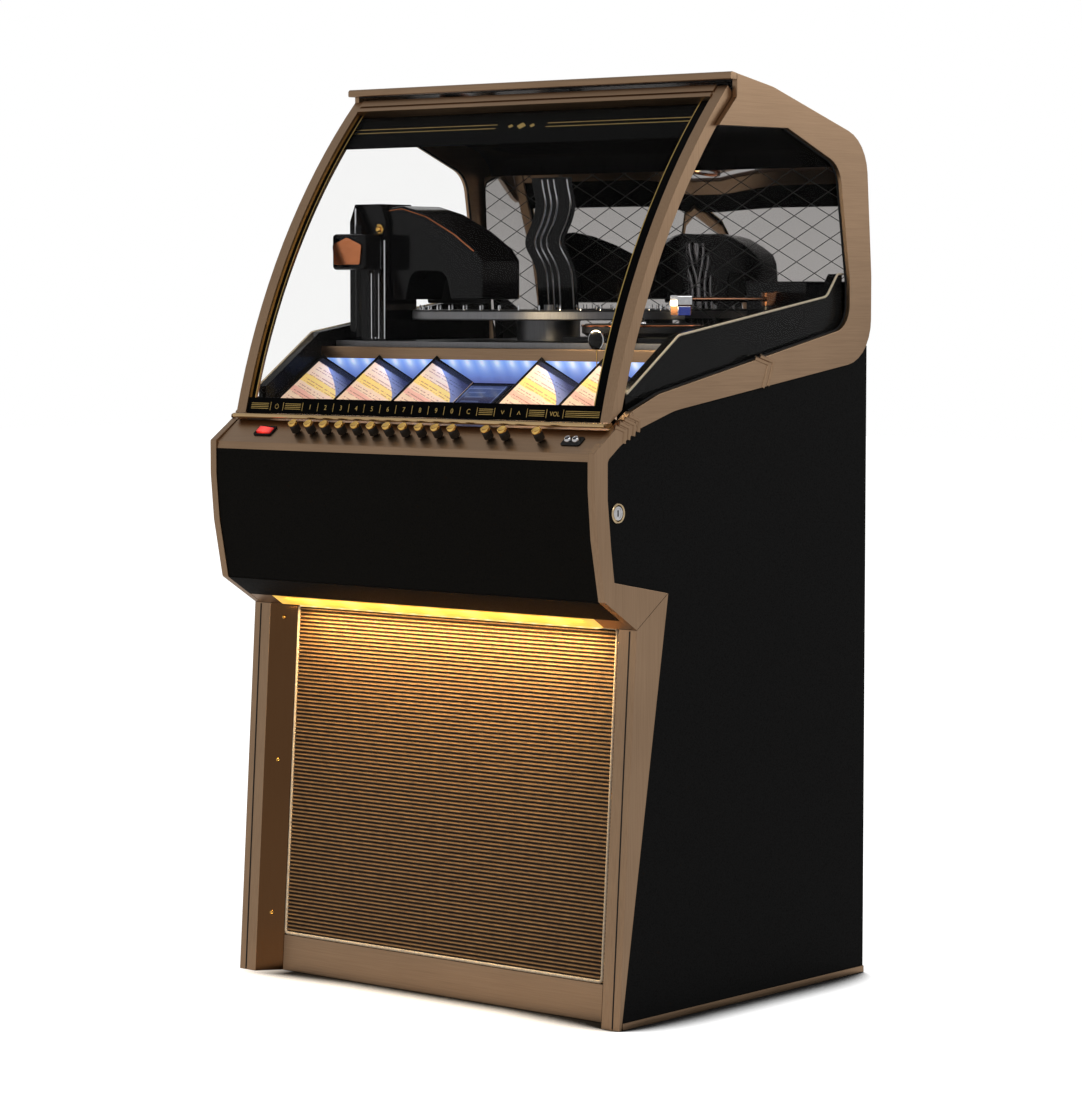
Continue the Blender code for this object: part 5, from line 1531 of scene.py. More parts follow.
@dataclass
class Door:
    """The curved glass door, with its pillars, rails, header, sill and label strip."""

    inside: float = 0.3915
    borders: tuple[float, float] = (0.0090, 0.0220)
    glass_front: float = 0.008
    glass_rear: float = 0.013
    label_high: float = 0.028
    header_high: float = 0.074
    head_rail: float = 0.027
    separators: tuple = (-0.3371, -0.3075, -0.2622, -0.2266, -0.1907, -0.1551, -0.1203, -0.0841, -0.0487,
                         -0.0125, 0.0235, 0.0581, 0.0929, 0.1297, 0.1672, 0.2018, 0.2361, 0.2769, 0.3117)
    line_runs: tuple = ((-0.3830, -0.3420), (-0.3030, -0.2665), (0.1337, 0.1632), (0.2405, 0.2725),
                        (0.3160, 0.3860))
    stripe_runs: tuple = ((-0.3850, -0.0560), (0.0560, 0.3850))

    def build(self) -> None:
        """Build the door."""
        for side in ("left", "right"):
            eased("door_pillar_" + side, BRONZE_UP, "door", ease=0.0009)
        eased("door_head_rail", BRONZE_ACROSS, "door", ease=0.0010)
        eased("door_sill", BRONZE_BRIGHT, "door", ease=0.0003)
        eased("door_header", PRINT_BLACK, "door", ease=0.0003)
        eased("label_strip", PRINT_BLACK, "door", ease=0.0003)
        eased("door_glass", DOOR_GLASS, "door", ease=0.0004)
        self.glass_borders()
        self.header_stripes()
        self.label_print()

    def patch(self, inward: float, low: float, high: float, left: float, right: float, thick: float,
              surface: Surface, finish: int = 0, steps: int = 2) -> None:
        """Add a thin bar that follows the arc: it spans left to right, low to high, and is thick outwards.

        Args:
            inward: How far its back lies behind the door's face.
            low: Its travel at the foot.
            high: Its travel at the head.
            left: Its low x.
            right: Its high x.
            thick: Its thickness.
            surface: The surface that it is added to.
            finish: The number of the finish.
            steps: The steps along the arc.
        """
        back, face = ARC.path(inward, low, high, steps), ARC.path(inward - thick, low, high, steps)
        outline = np.concatenate([back, face[::-1]])
        grid = np.stack([upright(outline, x) for x in (left, right)])
        surface.sheet(grid, finish, around=True, ends=True)

    def glass_borders(self) -> None:
        """Print the black borders of the glass, each with a thin gold line."""
        top = ARC_LENGTH - self.head_rail
        for side, sign, border in (("left", -1, self.borders[0]), ("right", 1, self.borders[1])):
            surface = Surface()
            face = self.glass_front - 0.0002
            ends = sorted((sign * (self.inside - 0.0002), sign * (self.inside - border)))
            self.patch(face, self.label_high, top, ends[0], ends[1], 0.0004, surface, 0, 48)
            line = sorted((sign * (self.inside - border), sign * (self.inside - border - 0.0018)))
            self.patch(face, self.label_high, top, line[0], line[1], 0.0006, surface, 1, 48)
            bead = sorted((sign * self.inside, sign * (self.inside - 0.0020)))
            self.patch(face - 0.0004, self.label_high, top, bead[0], bead[1], 0.0014, surface, 1, 48)
            surface.placed("glass_border_" + side, PRINT_BLACK, GOLD_LINE, body="door")

    def header_stripes(self) -> None:
        """Lay the double gold lines on the header, and three plain lozenges between them."""
        surface = Surface()
        middle = ARC_LENGTH - self.head_rail - self.header_high * 0.47
        face = self.glass_rear + 0.0003
        for low, high in self.stripe_runs:
            for shift in (-0.0042, 0.0042):
                self.patch(face, middle + shift - 0.0007, middle + shift + 0.0007, low, high, 0.0003,
                           surface)
        for x, size in ((-0.024, 0.6), (0.0, 1.0), (0.024, 0.6)):
            spot = ARC.point(face, np.array((middle, middle + 0.001)))
            up = np.array((0.0, *(spot[1] - spot[0])))
            up = up / np.linalg.norm(up)
            outline = size * np.array([(-0.0100, 0.0), (0.0, -0.0075), (0.0100, 0.0), (0.0, 0.0075)])
            surface.slab(outline, (x, *spot[0]), (1, 0, 0), up, 0.0003)
        surface.placed("header_stripes", GOLD_LINE, body="door")

    def label_print(self) -> None:
        """Print the label strip: separators, ruled lines, plain figures, arrows and the power mark."""
        surface = Surface()
        face = 0.0030
        for x in self.separators:
            self.patch(face, 0.0062, 0.0205, x - 0.0005, x + 0.0005, 0.0002, surface)
        for low, high in self.line_runs:
            for row in range(4):
                travel = 0.0085 + 0.0030 * row
                self.patch(face, travel, travel + 0.0009, low, high, 0.0002, surface)
        spot = ARC.point(face, np.array((0.0092, 0.0102)))
        up = np.array((0.0, *(spot[1] - spot[0])))
        up = up / np.linalg.norm(up)
        foot = np.array((0.0, *spot[0]))
        signs = ["1", "2", "3", "4", "5", "6", "7", "8", "9", "0", "C"]
        middles = [(a + b) / 2 for a, b in zip(self.separators[2:13], self.separators[3:14])]
        for text, x in zip(signs, middles):
            surface.words(text, 0.0118, foot + (x, 0, 0), (1, 0, 0), up, 0.0002)
        surface.words("VOL", 0.0108, foot + ((self.separators[17] + self.separators[18]) / 2, 0, 0),
                      (1, 0, 0), up, 0.0002)
        for x, sign in ((0.1845, -1), (0.2190, 1)):
            arrow = np.array([(-0.0036, -sign * 0.0028), (-0.0026, -sign * 0.0034), (0.0, sign * 0.0016),
                              (0.0026, -sign * 0.0034), (0.0036, -sign * 0.0028), (0.0, sign * 0.0034)])
            surface.slab(arrow, foot + (x, 0, 0) + 0.004 * up, (1, 0, 0), up, 0.0002)
        ring = foot + (-0.3223, 0, 0) + 0.004 * up
        t = np.linspace(math.radians(120), math.radians(420), 20)
        arc = ring + 0.0040 * (np.cos(t)[:, None] * np.array((1.0, 0, 0)) + np.sin(t)[:, None] * up)
        surface.carried(box_profile(0.0, -0.0004, 0.0002, 0.0004), arc, np.cross((1, 0, 0), up))
        bar = np.array([(-0.0004, 0.0006), (0.0004, 0.0006), (0.0004, 0.0052), (-0.0004, 0.0052)])
        surface.slab(bar, ring, (1, 0, 0), up, 0.0002)
        surface.placed("label_print", GOLD_LINE, body="door", facing=(0, -1, 0.3))


# --- Record compartment ----------------------------------------------------------------------------------


@dataclass
class Compartment:
    """Side windows, mirror, masks' piping, deck and ceiling lamps."""

    mask: tuple = ((0.134, 0.6610), (0.313, 0.7209), (0.855, 0.7614), (0.897, 0.7863), (0.918, 0.7863))
    lamps: tuple = ((-0.24, 0.06), (0.02, 0.16), (0.26, 0.10))
    mirror: tuple = ((0.3438, 1.0763), (0.3168, 1.3850))
    # The x span of the painted reflection on the mirror, and of its bright ribs.
    plate: tuple[float, float] = (-0.2890, -0.1960)
    ribs: tuple = (-0.2637, -0.2503, -0.2360, -0.2047)

    def build(self) -> None:
        """Build the compartment's lining."""
        for side, sign in (("left", -1), ("right", 1)):
            eased("side_glass_" + side, SIDE_GLASS, ease=0.0004)
            self.mask_piping(side, sign)
        eased("mirror_panel", MIRROR, ease=0.0003)
        eased("mechanism_deck", SATIN, ease=0.0006)
        self.mirror_reflection_plate()

    def mirror_y(self, z: np.ndarray) -> np.ndarray:
        """Give the y of the mirror's front face at a height, on the line from its foot to its head."""
        (low_y, low_z), (high_y, high_z) = self.mirror
        return low_y + (z - low_z) * (high_y - low_y) / (high_z - low_z)

    def mirror_reflection_plate(self) -> None:
        """Stand a black plate with four bright ribs on the mirror, as a painted reflection of the tower's
        ribbed rear.

        The plate and its ribs bend sideways like an S: the offset at a height is the sum of two bells,
        c exp(-((z - z0) / w)^2), one to the left at the middle and a small one to the right near the head.
        """
        z = np.linspace(1.086, 1.380, 80)
        bend = -0.024 * np.exp(-((z - 1.262) / 0.032) ** 2) + 0.006 * np.exp(-((z - 1.335) / 0.025) ** 2)
        y = self.mirror_y(z)
        left, right = self.plate
        corners = ((left, -0.0001), (left, 0.0016), (right, 0.0016), (right, -0.0001))
        grid = np.stack([np.column_stack([bend + x, y - lift, z]) for x, lift in corners], axis=1)
        surface = Surface().sheet(grid, around=True, ends=True)
        for x in self.ribs:
            line = np.column_stack([bend + x, y - 0.0024, z])[1:-1]
            surface.carried(circle(0.0017, 8), line, (0, 1, 0), finish=1)
        surface.placed("mirror_reflection_plate", GLOSS, BRIGHT_LINE)

    def mask_piping(self, side: str, sign: int) -> None:
        """Run the pale cord along the top of a side mask.

        Args:
            side: The side's name.
            sign: -1 for the left, 1 for the right.
        """
        path = rounded(SIDE.path(*self.mask), (0.0, 0.02, 0.02, 0.01, 0.0), 6)
        surface = Surface().carried(circle(0.0019, 10), upright(path, sign * 0.4074))
        surface.placed("mask_piping_" + side, PIPING)

    def downlights(self, height_at: Callable[[float], float]) -> None:
        """Hang the round ceiling lamps, each a copper ring round a dished reflector and a warm bulb.

        Args:
            height_at: Gives the ceiling's height at a y.
        """
        for number, (x, y) in enumerate(self.lamps, start=1):
            surface = Surface()
            z = height_at(y)
            ring = [(0.024, 0.0), (0.036, 0.0), (0.0365, -0.0030), (0.0350, -0.0062), (0.0315, -0.0070),
                    (0.0285, -0.0050), (0.0275, -0.0010), (0.024, 0.0)]
            surface.turned(ring, (x, y, z), steps=48)
            dish = [(0.0, -0.0006), (0.010, -0.0006), (0.020, -0.0012), (0.0280, -0.0034), (0.0280, 0.0),
                    (0.0, 0.0)]
            surface.turned(dish, (x, y, z), steps=40, finish=1)
            bulb = [(0.0, -0.0094), (0.0030, -0.0090), (0.0052, -0.0070), (0.0056, -0.0040),
                    (0.0050, -0.0006), (0.0, -0.0006)]
            surface.turned(bulb, (x, y, z), steps=20, finish=2)
            surface.placed("ceiling_lamp_%d" % number, COPPER, CHROME, WARM_BULB)


# --- Title rack ------------------------------------------------------------------------------------------


@dataclass
class TitleRack:
    """Six tents of title cards under a lit rear wall, a bronze rail and the screen."""

    room: float = 0.3877
    ridge_front: tuple[float, float] = SIDE.at(0.1292, 0.6353)
    ridge_rear: tuple[float, float] = SIDE.at(0.3190, 0.6948)
    pitch: float = 0.1326
    start: float = 0.0503
    height: float = 0.048
    base: float = 0.006
    tents: int = 3
    screen: tuple[float, float] = (0.092, 0.130)

    def place(self, x: np.ndarray, drop: np.ndarray, along: np.ndarray) -> np.ndarray:
        """Give places on the rack.

        P = F + along (R - F) - drop N, with F and R the ridges' front and rear ends and N square to them.

        Args:
            x: The x of each place.
            drop: How far each lies below the ridge line.
            along: 0 at the front and 1 at the rear.

        Returns:
            Points.
        """
        front, rear = np.array(self.ridge_front), np.array(self.ridge_rear)
        run = rear - front
        normal = np.array((-run[1], run[0])) / np.linalg.norm(run)
        flat = front + np.asarray(along)[..., None] * run - np.asarray(drop)[..., None] * normal
        return np.concatenate([np.broadcast_to(np.asarray(x), flat.shape[:-1])[..., None], flat], axis=-1)

    def faces(self) -> list:
        """Give each tent face as its ridge x, its valley x and how far it falls."""
        found = []
        for number in range(self.tents):
            low = self.start + self.pitch * number
            ridge = low + self.pitch / 2
            found.append((ridge, low, self.height))
            high = min(low + self.pitch, self.room)
            found.append((ridge, high, self.height * (high - ridge) / (self.pitch / 2)))
        return found

    def build(self) -> None:
        """Build the rack."""
        eased("title_rack", SATIN, ease=0.0005)
        for side, sign in (("left", -1), ("right", 1)):
            for number, (ridge, valley, fall) in enumerate(self.faces(), start=1):
                self.card(side, sign, number, ridge, valley, fall)
            self.ridge_trims(side, sign)
        self.rear_rail()
        self.glow_wall()
        self.screen_panel()

    def card(self, side: str, sign: int, number: int, ridge: float, valley: float, fall: float) -> None:
        """Lay the printed cards on one face of a tent, as a thin closed sheet that bows a little.

        Args:
            side: The side's name.
            sign: -1 for the left, 1 for the right.
            number: The face's number.
            ridge: The ridge's distance from the middle.
            valley: The valley's distance from the middle.
            fall: How far the valley lies below the ridge.
        """
        u, v = np.meshgrid(np.linspace(0.035, 0.975, 13), np.linspace(0.012, 0.955, 13), indexing="xy")
        x = sign * (ridge + (valley - ridge) * u)
        bow = 0.0010 * np.sin(math.pi * u) * np.sin(math.pi * v)
        top = self.place(x, fall * u - 0.0012 - bow, v)
        under = self.place(x, fall * u - 0.0004, v)
        surface = Surface().sheet(top)
        surface.sheet(under[::-1])
        rim_top = np.concatenate([top[0], top[1:, -1], top[-1, ::-1][1:], top[::-1, 0][1:-1]])
        rim_under = np.concatenate([under[0], under[1:, -1], under[-1, ::-1][1:], under[::-1, 0][1:-1]])
        surface.sheet(np.stack([rim_top, rim_under]), around=True)
        surface.placed("title_cards_%s_%d" % (side, number), CARDS, corner=50)

    def ridge_trims(self, side: str, sign: int) -> None:
        """Lay the dark bars along the ridges and across the tents' rear edges.

        Args:
            side: The side's name.
            sign: -1 for the left, 1 for the right.
        """
        surface = Surface()
        for ridge, valley, fall in self.faces():
            ends = np.array((0.0, 1.0))
            x = sign * (ridge + (valley - ridge) * ends)
            corners = ((0.0004, 0.955), (0.0022, 0.957), (0.0022, 0.998), (0.0004, 0.998))
            bar = [self.place(x, fall * ends - lift, np.full(2, share)) for lift, share in corners]
            surface.sheet(np.stack(bar, axis=1), around=True, ends=True)
        for number in range(self.tents):
            ridge = self.start + self.pitch * (number + 0.5)
            line = self.place(np.full(2, sign * ridge), np.full(2, -0.0010), np.array((0.0, 0.998)))
            surface.carried(circle(0.0014, 8), line)
        surface.placed("rack_bars_" + side, SATIN, corner=50)

    def rear_rail(self) -> None:
        """Cover the rear rail with its bronze skin."""
        y, z = self.ridge_rear
        front, rear, low, high = y - 0.0006, y + 0.0124, z - 0.0046, z + 0.0156
        corners = np.array([(front, low), (front, high), (rear, high), (rear, low)])
        section = rounded(corners, (0.0, 0.002, 0.002, 0.0), 4)
        grid = np.stack([upright(section, x) for x in (-self.room + 0.0003, self.room - 0.0003)])
        Surface().sheet(grid, around=True, ends=True).placed("rack_rail_skin", BRONZE_ACROSS)

    def glow_wall(self) -> None:
        """Stand the lit blue strip behind the tents, under the rail."""
        x = np.array((-self.room + 0.002, self.room - 0.002))
        y, z = self.ridge_rear
        front, rear = np.array(self.ridge_front), np.array(self.ridge_rear)
        run = (rear - front) / np.linalg.norm(rear - front)
        normal = np.array((-run[1], run[0]))
        foot = rear - run * (self.base + 0.0003) - normal * (self.height - 0.001)
        head = np.array((y, z - 0.0046))
        section = np.array([head - (0.0012, 0), head + (0.0006, 0), foot + run * 0.0010,
                            foot - run * 0.0012])
        grid = np.stack([upright(section, place) for place in x])
        Surface().sheet(grid, around=True, ends=True).placed("rack_glow", BLUE_WALL)

    def screen_panel(self) -> None:
        """Lay the lit screen in its black frame."""
        eased("display_screen", SATIN, ease=0.0008)
        wide, long = self.screen
        run = math.dist(self.ridge_front, self.ridge_rear)
        share = (long - 0.012) / run
        u, v = np.meshgrid(np.linspace(-0.5, 0.5, 5), np.linspace(0.5 - share / 2, 0.5 + share / 2, 5),
                           indexing="xy")
        drop = self.height - 0.0003 - 0.006
        top = self.place(u * (wide - 0.010), np.full(u.shape, drop - 0.0007), v)
        under = self.place(u * (wide - 0.010), np.full(u.shape, drop + 0.0004), v)
        surface = Surface().sheet(top)
        surface.sheet(under[::-1])
        surface.placed("screen_face", SCREEN, facing=(0, -0.5, 1))


# --- Changer ---------------------------------------------------------------------------------------------


@dataclass
class Changer:
    """Tower, hood, carousel, turntable and arm."""

    tower: float = -0.315
    lines: tuple = ((-0.3050, 1.092, 1.205), (-0.2960, 1.092, 1.205), (-0.2885, 1.092, 1.205),
                    (-0.2745, 1.092, 1.262), (-0.3425, 1.275, 1.318))
    tower_front: float = -0.0945
    tower_rear: float = -0.0145
    tower_foot: float = 1.0892
    tower_top: float = 1.3249
    hub: tuple[float, float] = (-0.0551, 0.0859)
    carousel: float = 0.235
    carousel_top: float = 1.1420
    platter: tuple[float, float] = (0.2527, -0.0396)
    hood_start: float = -0.2722
    hood_length: float = 0.2120
    hood_front: float = -0.0848
    hood_low: float = 1.1600
    hood_rise: float = 0.1579
    head: tuple = ((0.3423, -0.0697, 1.1500), (0.3413, -0.0300, 1.1500))
    crown: tuple = ((0.00, 1.00), (0.14, 1.02), (0.40, 0.93), (0.70, 0.74), (0.92, 0.55))

    def build(self) -> None:
        """Build the changer."""
        eased("mechanism_base", STEEL, ease=0.0008)
        eased("transfer_tower", GLOSS, ease=0.0010)
        eased("record_hood", GLOSS, ease=0.0030)
        eased("lift_carriage", GLOSS, "lift_carriage", ease=0.0012)
        eased("record_carousel", CAST, "carousel", ease=0.0008)
        eased("turntable_base", GLOSS, ease=0.0010)
        eased("platter", CAST, "platter", ease=0.0008)
        eased("tone_arm", ARM_TUBE, "tone_arm", ease=0.0005)
        self.arm_head()
        self.tower_lines()
        self.tower_spine()
        self.carriage_plate()
        self.carousel_ring()
        self.platter_trim()
        self.tag()

    def tower_lines(self) -> None:
        """Run plated lines down the tower's front, with two bars and a round knob at its shoulder."""
        surface = Surface()
        face = self.tower_front - 0.0008
        for x, low, high in self.lines:
            surface.carried(circle(0.0015, 8), np.array([(x, face, low), (x, face, high)]))
        bar = rounded(box_profile(-0.0036, -0.0016, 0.0036, 0.0016), (0.0012,) * 4, 3, closed=True)
        for x in (-0.2865, -0.2775):
            surface.carried(bar, np.array([(x, face, 1.214), (x, face, 1.262)]))
        knob = [(0.0, 0.0), (0.0090, 0.0), (0.0096, 0.0012), (0.0090, 0.0028), (0.0070, 0.0030),
                (0.0064, 0.0016), (0.0050, 0.0014), (0.0046, 0.0060), (0.0034, 0.0072), (0.0, 0.0074)]
        surface.turned(knob, (-0.2850, face, 1.2810), (0, -1, 0), 28, finish=1)
        surface.placed("tower_lines", BRIGHT_LINE, GOLD)
        self.hood_trims()

    def hood_trims(self) -> None:
        """Lay a fine copper line along the hood's crown as a painted highlight, and close its arch with a
        dark plate.
        """
        along, up = np.array(self.crown).T
        crown = np.column_stack([self.hood_start + along * self.hood_length,
                                 np.full(len(along), self.hood_front),
                                 self.hood_low + up * self.hood_rise - 0.0050])
        fine = rounded(crown, (0.0,) + (0.03,) * (len(crown) - 2) + (0.0,), 8)
        # Painted highlight: the copper line along the crown.
        surface = Surface().carried(circle(0.0012, 8), fine, (0, 1, 0))
        surface.placed("hood_crown_highlight", COPPER)
        plate = rounded(box_profile(self.hood_start + 0.004, 0.0, self.hood_start + 0.150, 0.062),
                        (0.004,) * 4, 4, closed=True)
        surface = Surface().slab(plate, (0.0, self.hood_front + 0.0960, 1.1535), (1, 0, 0), (0, 0, 1),
                                 0.0020)
        surface.placed("hood_arch_plate", SATIN, ease=0.0004)

    def tower_spine(self) -> None:
        """Raise four plated ribs on the tower's rear, each bent like an S by x0 + c tanh((z - z0) / w)."""
        surface = Surface()
        z = np.linspace(self.tower_foot + 0.004, self.tower_top - 0.034, 40)
        bend = 0.012 * np.tanh((z - 1.215) / 0.028)
        for shift in (-0.024, -0.010, 0.004, 0.018):
            rear = np.full(len(z), self.tower_rear + 0.0016)
            path = np.column_stack([self.tower + shift + bend, rear, z])
            surface.carried(circle(0.0022, 10), path, (0, 1, 0))
        surface.placed("tower_spine", BRIGHT_LINE)

    def carriage_plate(self) -> None:
        """Set the plain plate on the front of the lift carriage."""
        low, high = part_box("lift_carriage")
        middle = (low + high) / 2
        outline = rounded(np.array([(-0.0300, -0.0220), (0.0300, -0.0220), (0.0340, 0.0120), (0.0, 0.0250),
                                    (-0.0340, 0.0120)]), (0.004, 0.004, 0.004, 0.010, 0.004), 5,
                                    closed=True)
        surface = Surface().slab(outline, (middle.x, low.y - 0.0002, middle.z), (1, 0, 0), (0, 0, 1),
                                 0.0030)
        surface.placed("carriage_plate", COPPER, body="lift_carriage", ease=0.0006)

    def carousel_ring(self) -> None:
        """Edge the carousel with a plated band and set bright pins round it."""
        x, y = self.hub
        surface = Surface()
        band = [(self.carousel, 0.0015), (self.carousel + 0.0012, 0.0022), (self.carousel + 0.0012, 0.0140),
                (self.carousel, 0.0150), (self.carousel - 0.002, 0.0150), (self.carousel - 0.002, 0.0015),
                (self.carousel, 0.0015)]
        surface.turned(band, (x, y, self.carousel_top - 0.017), steps=128)
        pin = [(0.0, -0.001), (0.0013, -0.001), (0.0013, 0.0070), (0.0008, 0.0084), (0.0, 0.0086)]
        for t in np.linspace(0, 2 * math.pi, 40, endpoint=False):
            spot = (x + (self.carousel - 0.012) * math.cos(t), y + (self.carousel - 0.012) * math.sin(t))
            surface.turned(pin, (*spot, self.carousel_top), steps=8, finish=1)
        surface.placed("carousel_ring", STEEL, CHROME, main=CHROME, body="carousel")

    def platter_trim(self) -> None:
        """Lay the rubber mat on the platter, edge it in copper and set the chrome spindle on it."""
        x, y = self.platter
        surface = Surface()
        edge = [(0.0995, -0.0010), (0.1012, -0.0004), (0.1016, 0.0010), (0.1008, 0.0024), (0.0985, 0.0028),
                (0.0970, 0.0020), (0.0970, -0.0010), (0.0995, -0.0010)]
        surface.turned(edge, (x, y, 1.1160), steps=96)
        r = np.linspace(0.0945, 0.012, 60)
        mat = np.column_stack([r, 0.0020 + 0.0004 * np.sin(r * 1900)])
        surface.turned(np.concatenate([[(0.0945, 0.0)], mat, [(0.012, 0.0)]]), (x, y, 1.1180), steps=64,
                       finish=1)
        cup = [(0.0, 0.004), (0.0040, 0.004), (0.0060, 0.0030), (0.0070, 0.0), (0.0, 0.0)]
        surface.turned(cup, (x, y, 1.1200), steps=32, finish=2)
        surface.placed("platter_trim", COPPER, RUBBER, CHROME, body="platter")

    def arm_head(self) -> None:
        """Clad the arm's head in a bright shell, with the blue cartridge under it."""
        front, rear = np.array(self.head)
        shell = rounded(box_profile(-0.0078, -0.0006, 0.0078, 0.0174), (0.0030,) * 4, 5, closed=True)
        surface = Surface().carried(shell, np.array([front, rear]))
        cartridge = rounded(box_profile(-0.0078, -0.0160, 0.0078, -0.0006), (0.0012,) * 4, 3, closed=True)
        surface.carried(cartridge, np.array([front + (rear - front) * 0.04, front + (rear - front) * 0.90]),
                        finish=1)
        surface.placed("arm_head_shell", CHROME, BLUE_PLASTIC, body="tone_arm", ease=0.0004)

    def tag(self) -> None:
        """Stand the plain round tag on its thin gold stem, in front of the turntable."""
        surface = Surface()
        foot, head = np.array((0.2500, -0.155, 0.9990)), np.array((0.2500, -0.155, 1.0800))
        surface.carried(circle(0.0009, 8), np.stack([foot, head]))
        disc = [(0.0, 0.0016), (0.0150, 0.0016), (0.0158, 0.0010), (0.0158, -0.0010), (0.0150, -0.0016),
                (0.0, -0.0016)]
        surface.turned(disc, (0.2500, -0.1560, 1.0940), (0, -1, 0), 40, finish=1)
        rim = [(0.0150, 0.0019), (0.0164, 0.0014), (0.0164, -0.0014), (0.0150, -0.0019), (0.0150, 0.0019)]
        surface.turned(rim, (0.2500, -0.1560, 1.0940), (0, -1, 0), 40, finish=2)
        surface.placed("round_tag", GOLD, GLOSS, CHROME, main=GLOSS)


# --- Studio ----------------------------------------------------------------------------------------------


@dataclass(frozen=True)
class AreaLamp:
    """An area lamp: where it hangs and aims, its size in metres, its power in watts and its colour.

    A mirrored lamp shows in glossy pieces.
    """

    name: str
    spot: tuple[float, float, float]
    aim: tuple[float, float, float]
    size: tuple[float, float]
    power: float
    colour: Colour
    mirrored: bool = False


DAYLIGHT, COOLER = (1.0, 0.98, 0.95), (1.0, 0.99, 0.97)
AMBER, AMBER_PALE, CREAM, WARM = (1.0, 0.66, 0.28), (1.0, 0.66, 0.30), (1.0, 0.78, 0.46), (1.0, 0.84, 0.60)
BLUE = (0.25, 0.45, 1.0)
LAMPS = (
    AreaLamp("key_lamp", (3.2, -1.6, 3.4), (0.0, 0.0, 0.9), (2.0, 2.0), 26.0, DAYLIGHT, True),
    AreaLamp("rear_lamp", (2.4, 3.2, 2.6), (0.0, 0.2, 1.2), (2.0, 1.6), 22.0, COOLER, True),
    AreaLamp("front_lamp", (-2.8, -3.0, 2.4), (0.0, -0.3, 0.8), (1.8, 1.8), 18.0, DAYLIGHT),
    AreaLamp("grille_lamp", (0.0, -0.262, 0.630), (0.0, -0.262, 0.30), (0.66, 0.012), 1.9, AMBER, True),
    AreaLamp("chin_lamp", (0.0, -0.297, 0.650), (0.0, -0.255, 0.35), (0.66, 0.012), 1.5, AMBER_PALE, True),
    AreaLamp("rail_lamp", (0.24, -0.215, 1.150), (0.24, -0.135, 1.07), (0.26, 0.02), 0.30, CREAM, True),
    AreaLamp("rack_lamp", (0.0, -0.085, 1.42), (0.0, -0.20, 1.0), (0.70, 0.02), 1.2, WARM),
    AreaLamp("rack_glow_lamp", (0.0, -0.140, 1.052), (0.0, -0.24, 1.00), (0.72, 0.010), 0.35, BLUE),
)


@dataclass
class Studio:
    """Floor, world, lamps and camera."""

    spot: tuple[float, float, float] = (3.9955, -4.7318, 1.1665)
    pitch: float = 4.175
    turn: float = 40.177
    lens: float = 116.39
    width: float = 36.0
    level: float = 0.50
    gloss_level: float = 0.66
    gloss_drift: float = 0.02
    gloss_fall: float = 0.20
    far: float = 20.0
    drop: float = 0.0005

    def build(self) -> None:
        """Set up the studio."""
        self.floor()
        self.world()
        self.lamps()
        self.camera()
        bpy.context.scene.view_settings.view_transform = "Standard"

    def floor(self) -> None:
        """Lay a pale floor that takes the lamps' shadow and a painted contact shadow: a grid that rises
        nowhere, z = 0.
        """
        x, y = np.meshgrid(*[np.linspace(-self.far, self.far, 9)] * 2, indexing="ij")
        surface = Surface().sheet(np.stack([x, y, np.full(x.shape, -self.drop)], axis=-1))
        surface.made("studio_floor", [PaleFloor()], facing=(0, 0, 1))

    def world(self) -> None:
        """Light the world evenly, show it white to the camera and through glass, and to gloss a grey that is
        darker upwards.
        """
        world = bpy.data.worlds.new("studio_world")
        world.use_nodes = True
        bpy.context.scene.world = world
        bench = Bench(world.node_tree)
        path = bench.node("ShaderNodeLightPath")
        seen = bench.wire(path, "Is Camera Ray").larger(bench.wire(path, "Is Transmission Ray"))
        glossy = bench.wire(path, "Is Glossy Ray")
        way = bench.axes(bench.wire(bench.node("ShaderNodeTexCoord"), "Generated"))
        bright = self.gloss_level - way[0] * self.gloss_drift - way[1] * self.gloss_drift
        bright = (bright - way[2] * self.gloss_fall).kept()
        strength = seen + (1 - seen) * (glossy * bright + (1 - glossy) * self.level)
        shader = bench.wire(bench.node("ShaderNodeBackground", {},
                                       {"Color": (1.0, 1.0, 1.0), "Strength": strength}))
        bench.end(shader, "ShaderNodeOutputWorld")

    def area(self, plan: AreaLamp) -> None:
        """Hang an area lamp, unseen by the camera.

        Args:
            plan: The lamp.
        """
        lamp = bpy.data.lights.new(plan.name, "AREA")
        lamp.shape, lamp.size, lamp.size_y = "RECTANGLE", *plan.size
        lamp.energy, lamp.color = plan.power, plan.colour
        thing = bpy.data.objects.new(plan.name, lamp)
        thing.location = plan.spot
        thing.rotation_euler = (Vector(plan.aim) - Vector(plan.spot)).to_track_quat("-Z", "Y").to_euler()
        thing.visible_camera = False
        thing.visible_glossy = plan.mirrored
        bpy.context.scene.collection.objects.link(thing)

    def lamps(self) -> None:
        """Hang the studio lamps and the small lamps inside the jukebox."""
        for lamp in LAMPS:
            self.area(lamp)

    def camera(self) -> None:
        """Stand the camera where the photograph was taken from."""
        lens = bpy.data.cameras.new("camera")
        lens.lens, lens.sensor_width, lens.clip_end = self.lens, self.width, self.far * 10
        thing = bpy.data.objects.new("camera", lens)
        thing.location = self.spot
        thing.rotation_euler = (math.radians(90 - self.pitch), 0.0, math.radians(self.turn))
        bpy.context.scene.collection.objects.link(thing)
        bpy.context.scene.camera = thing


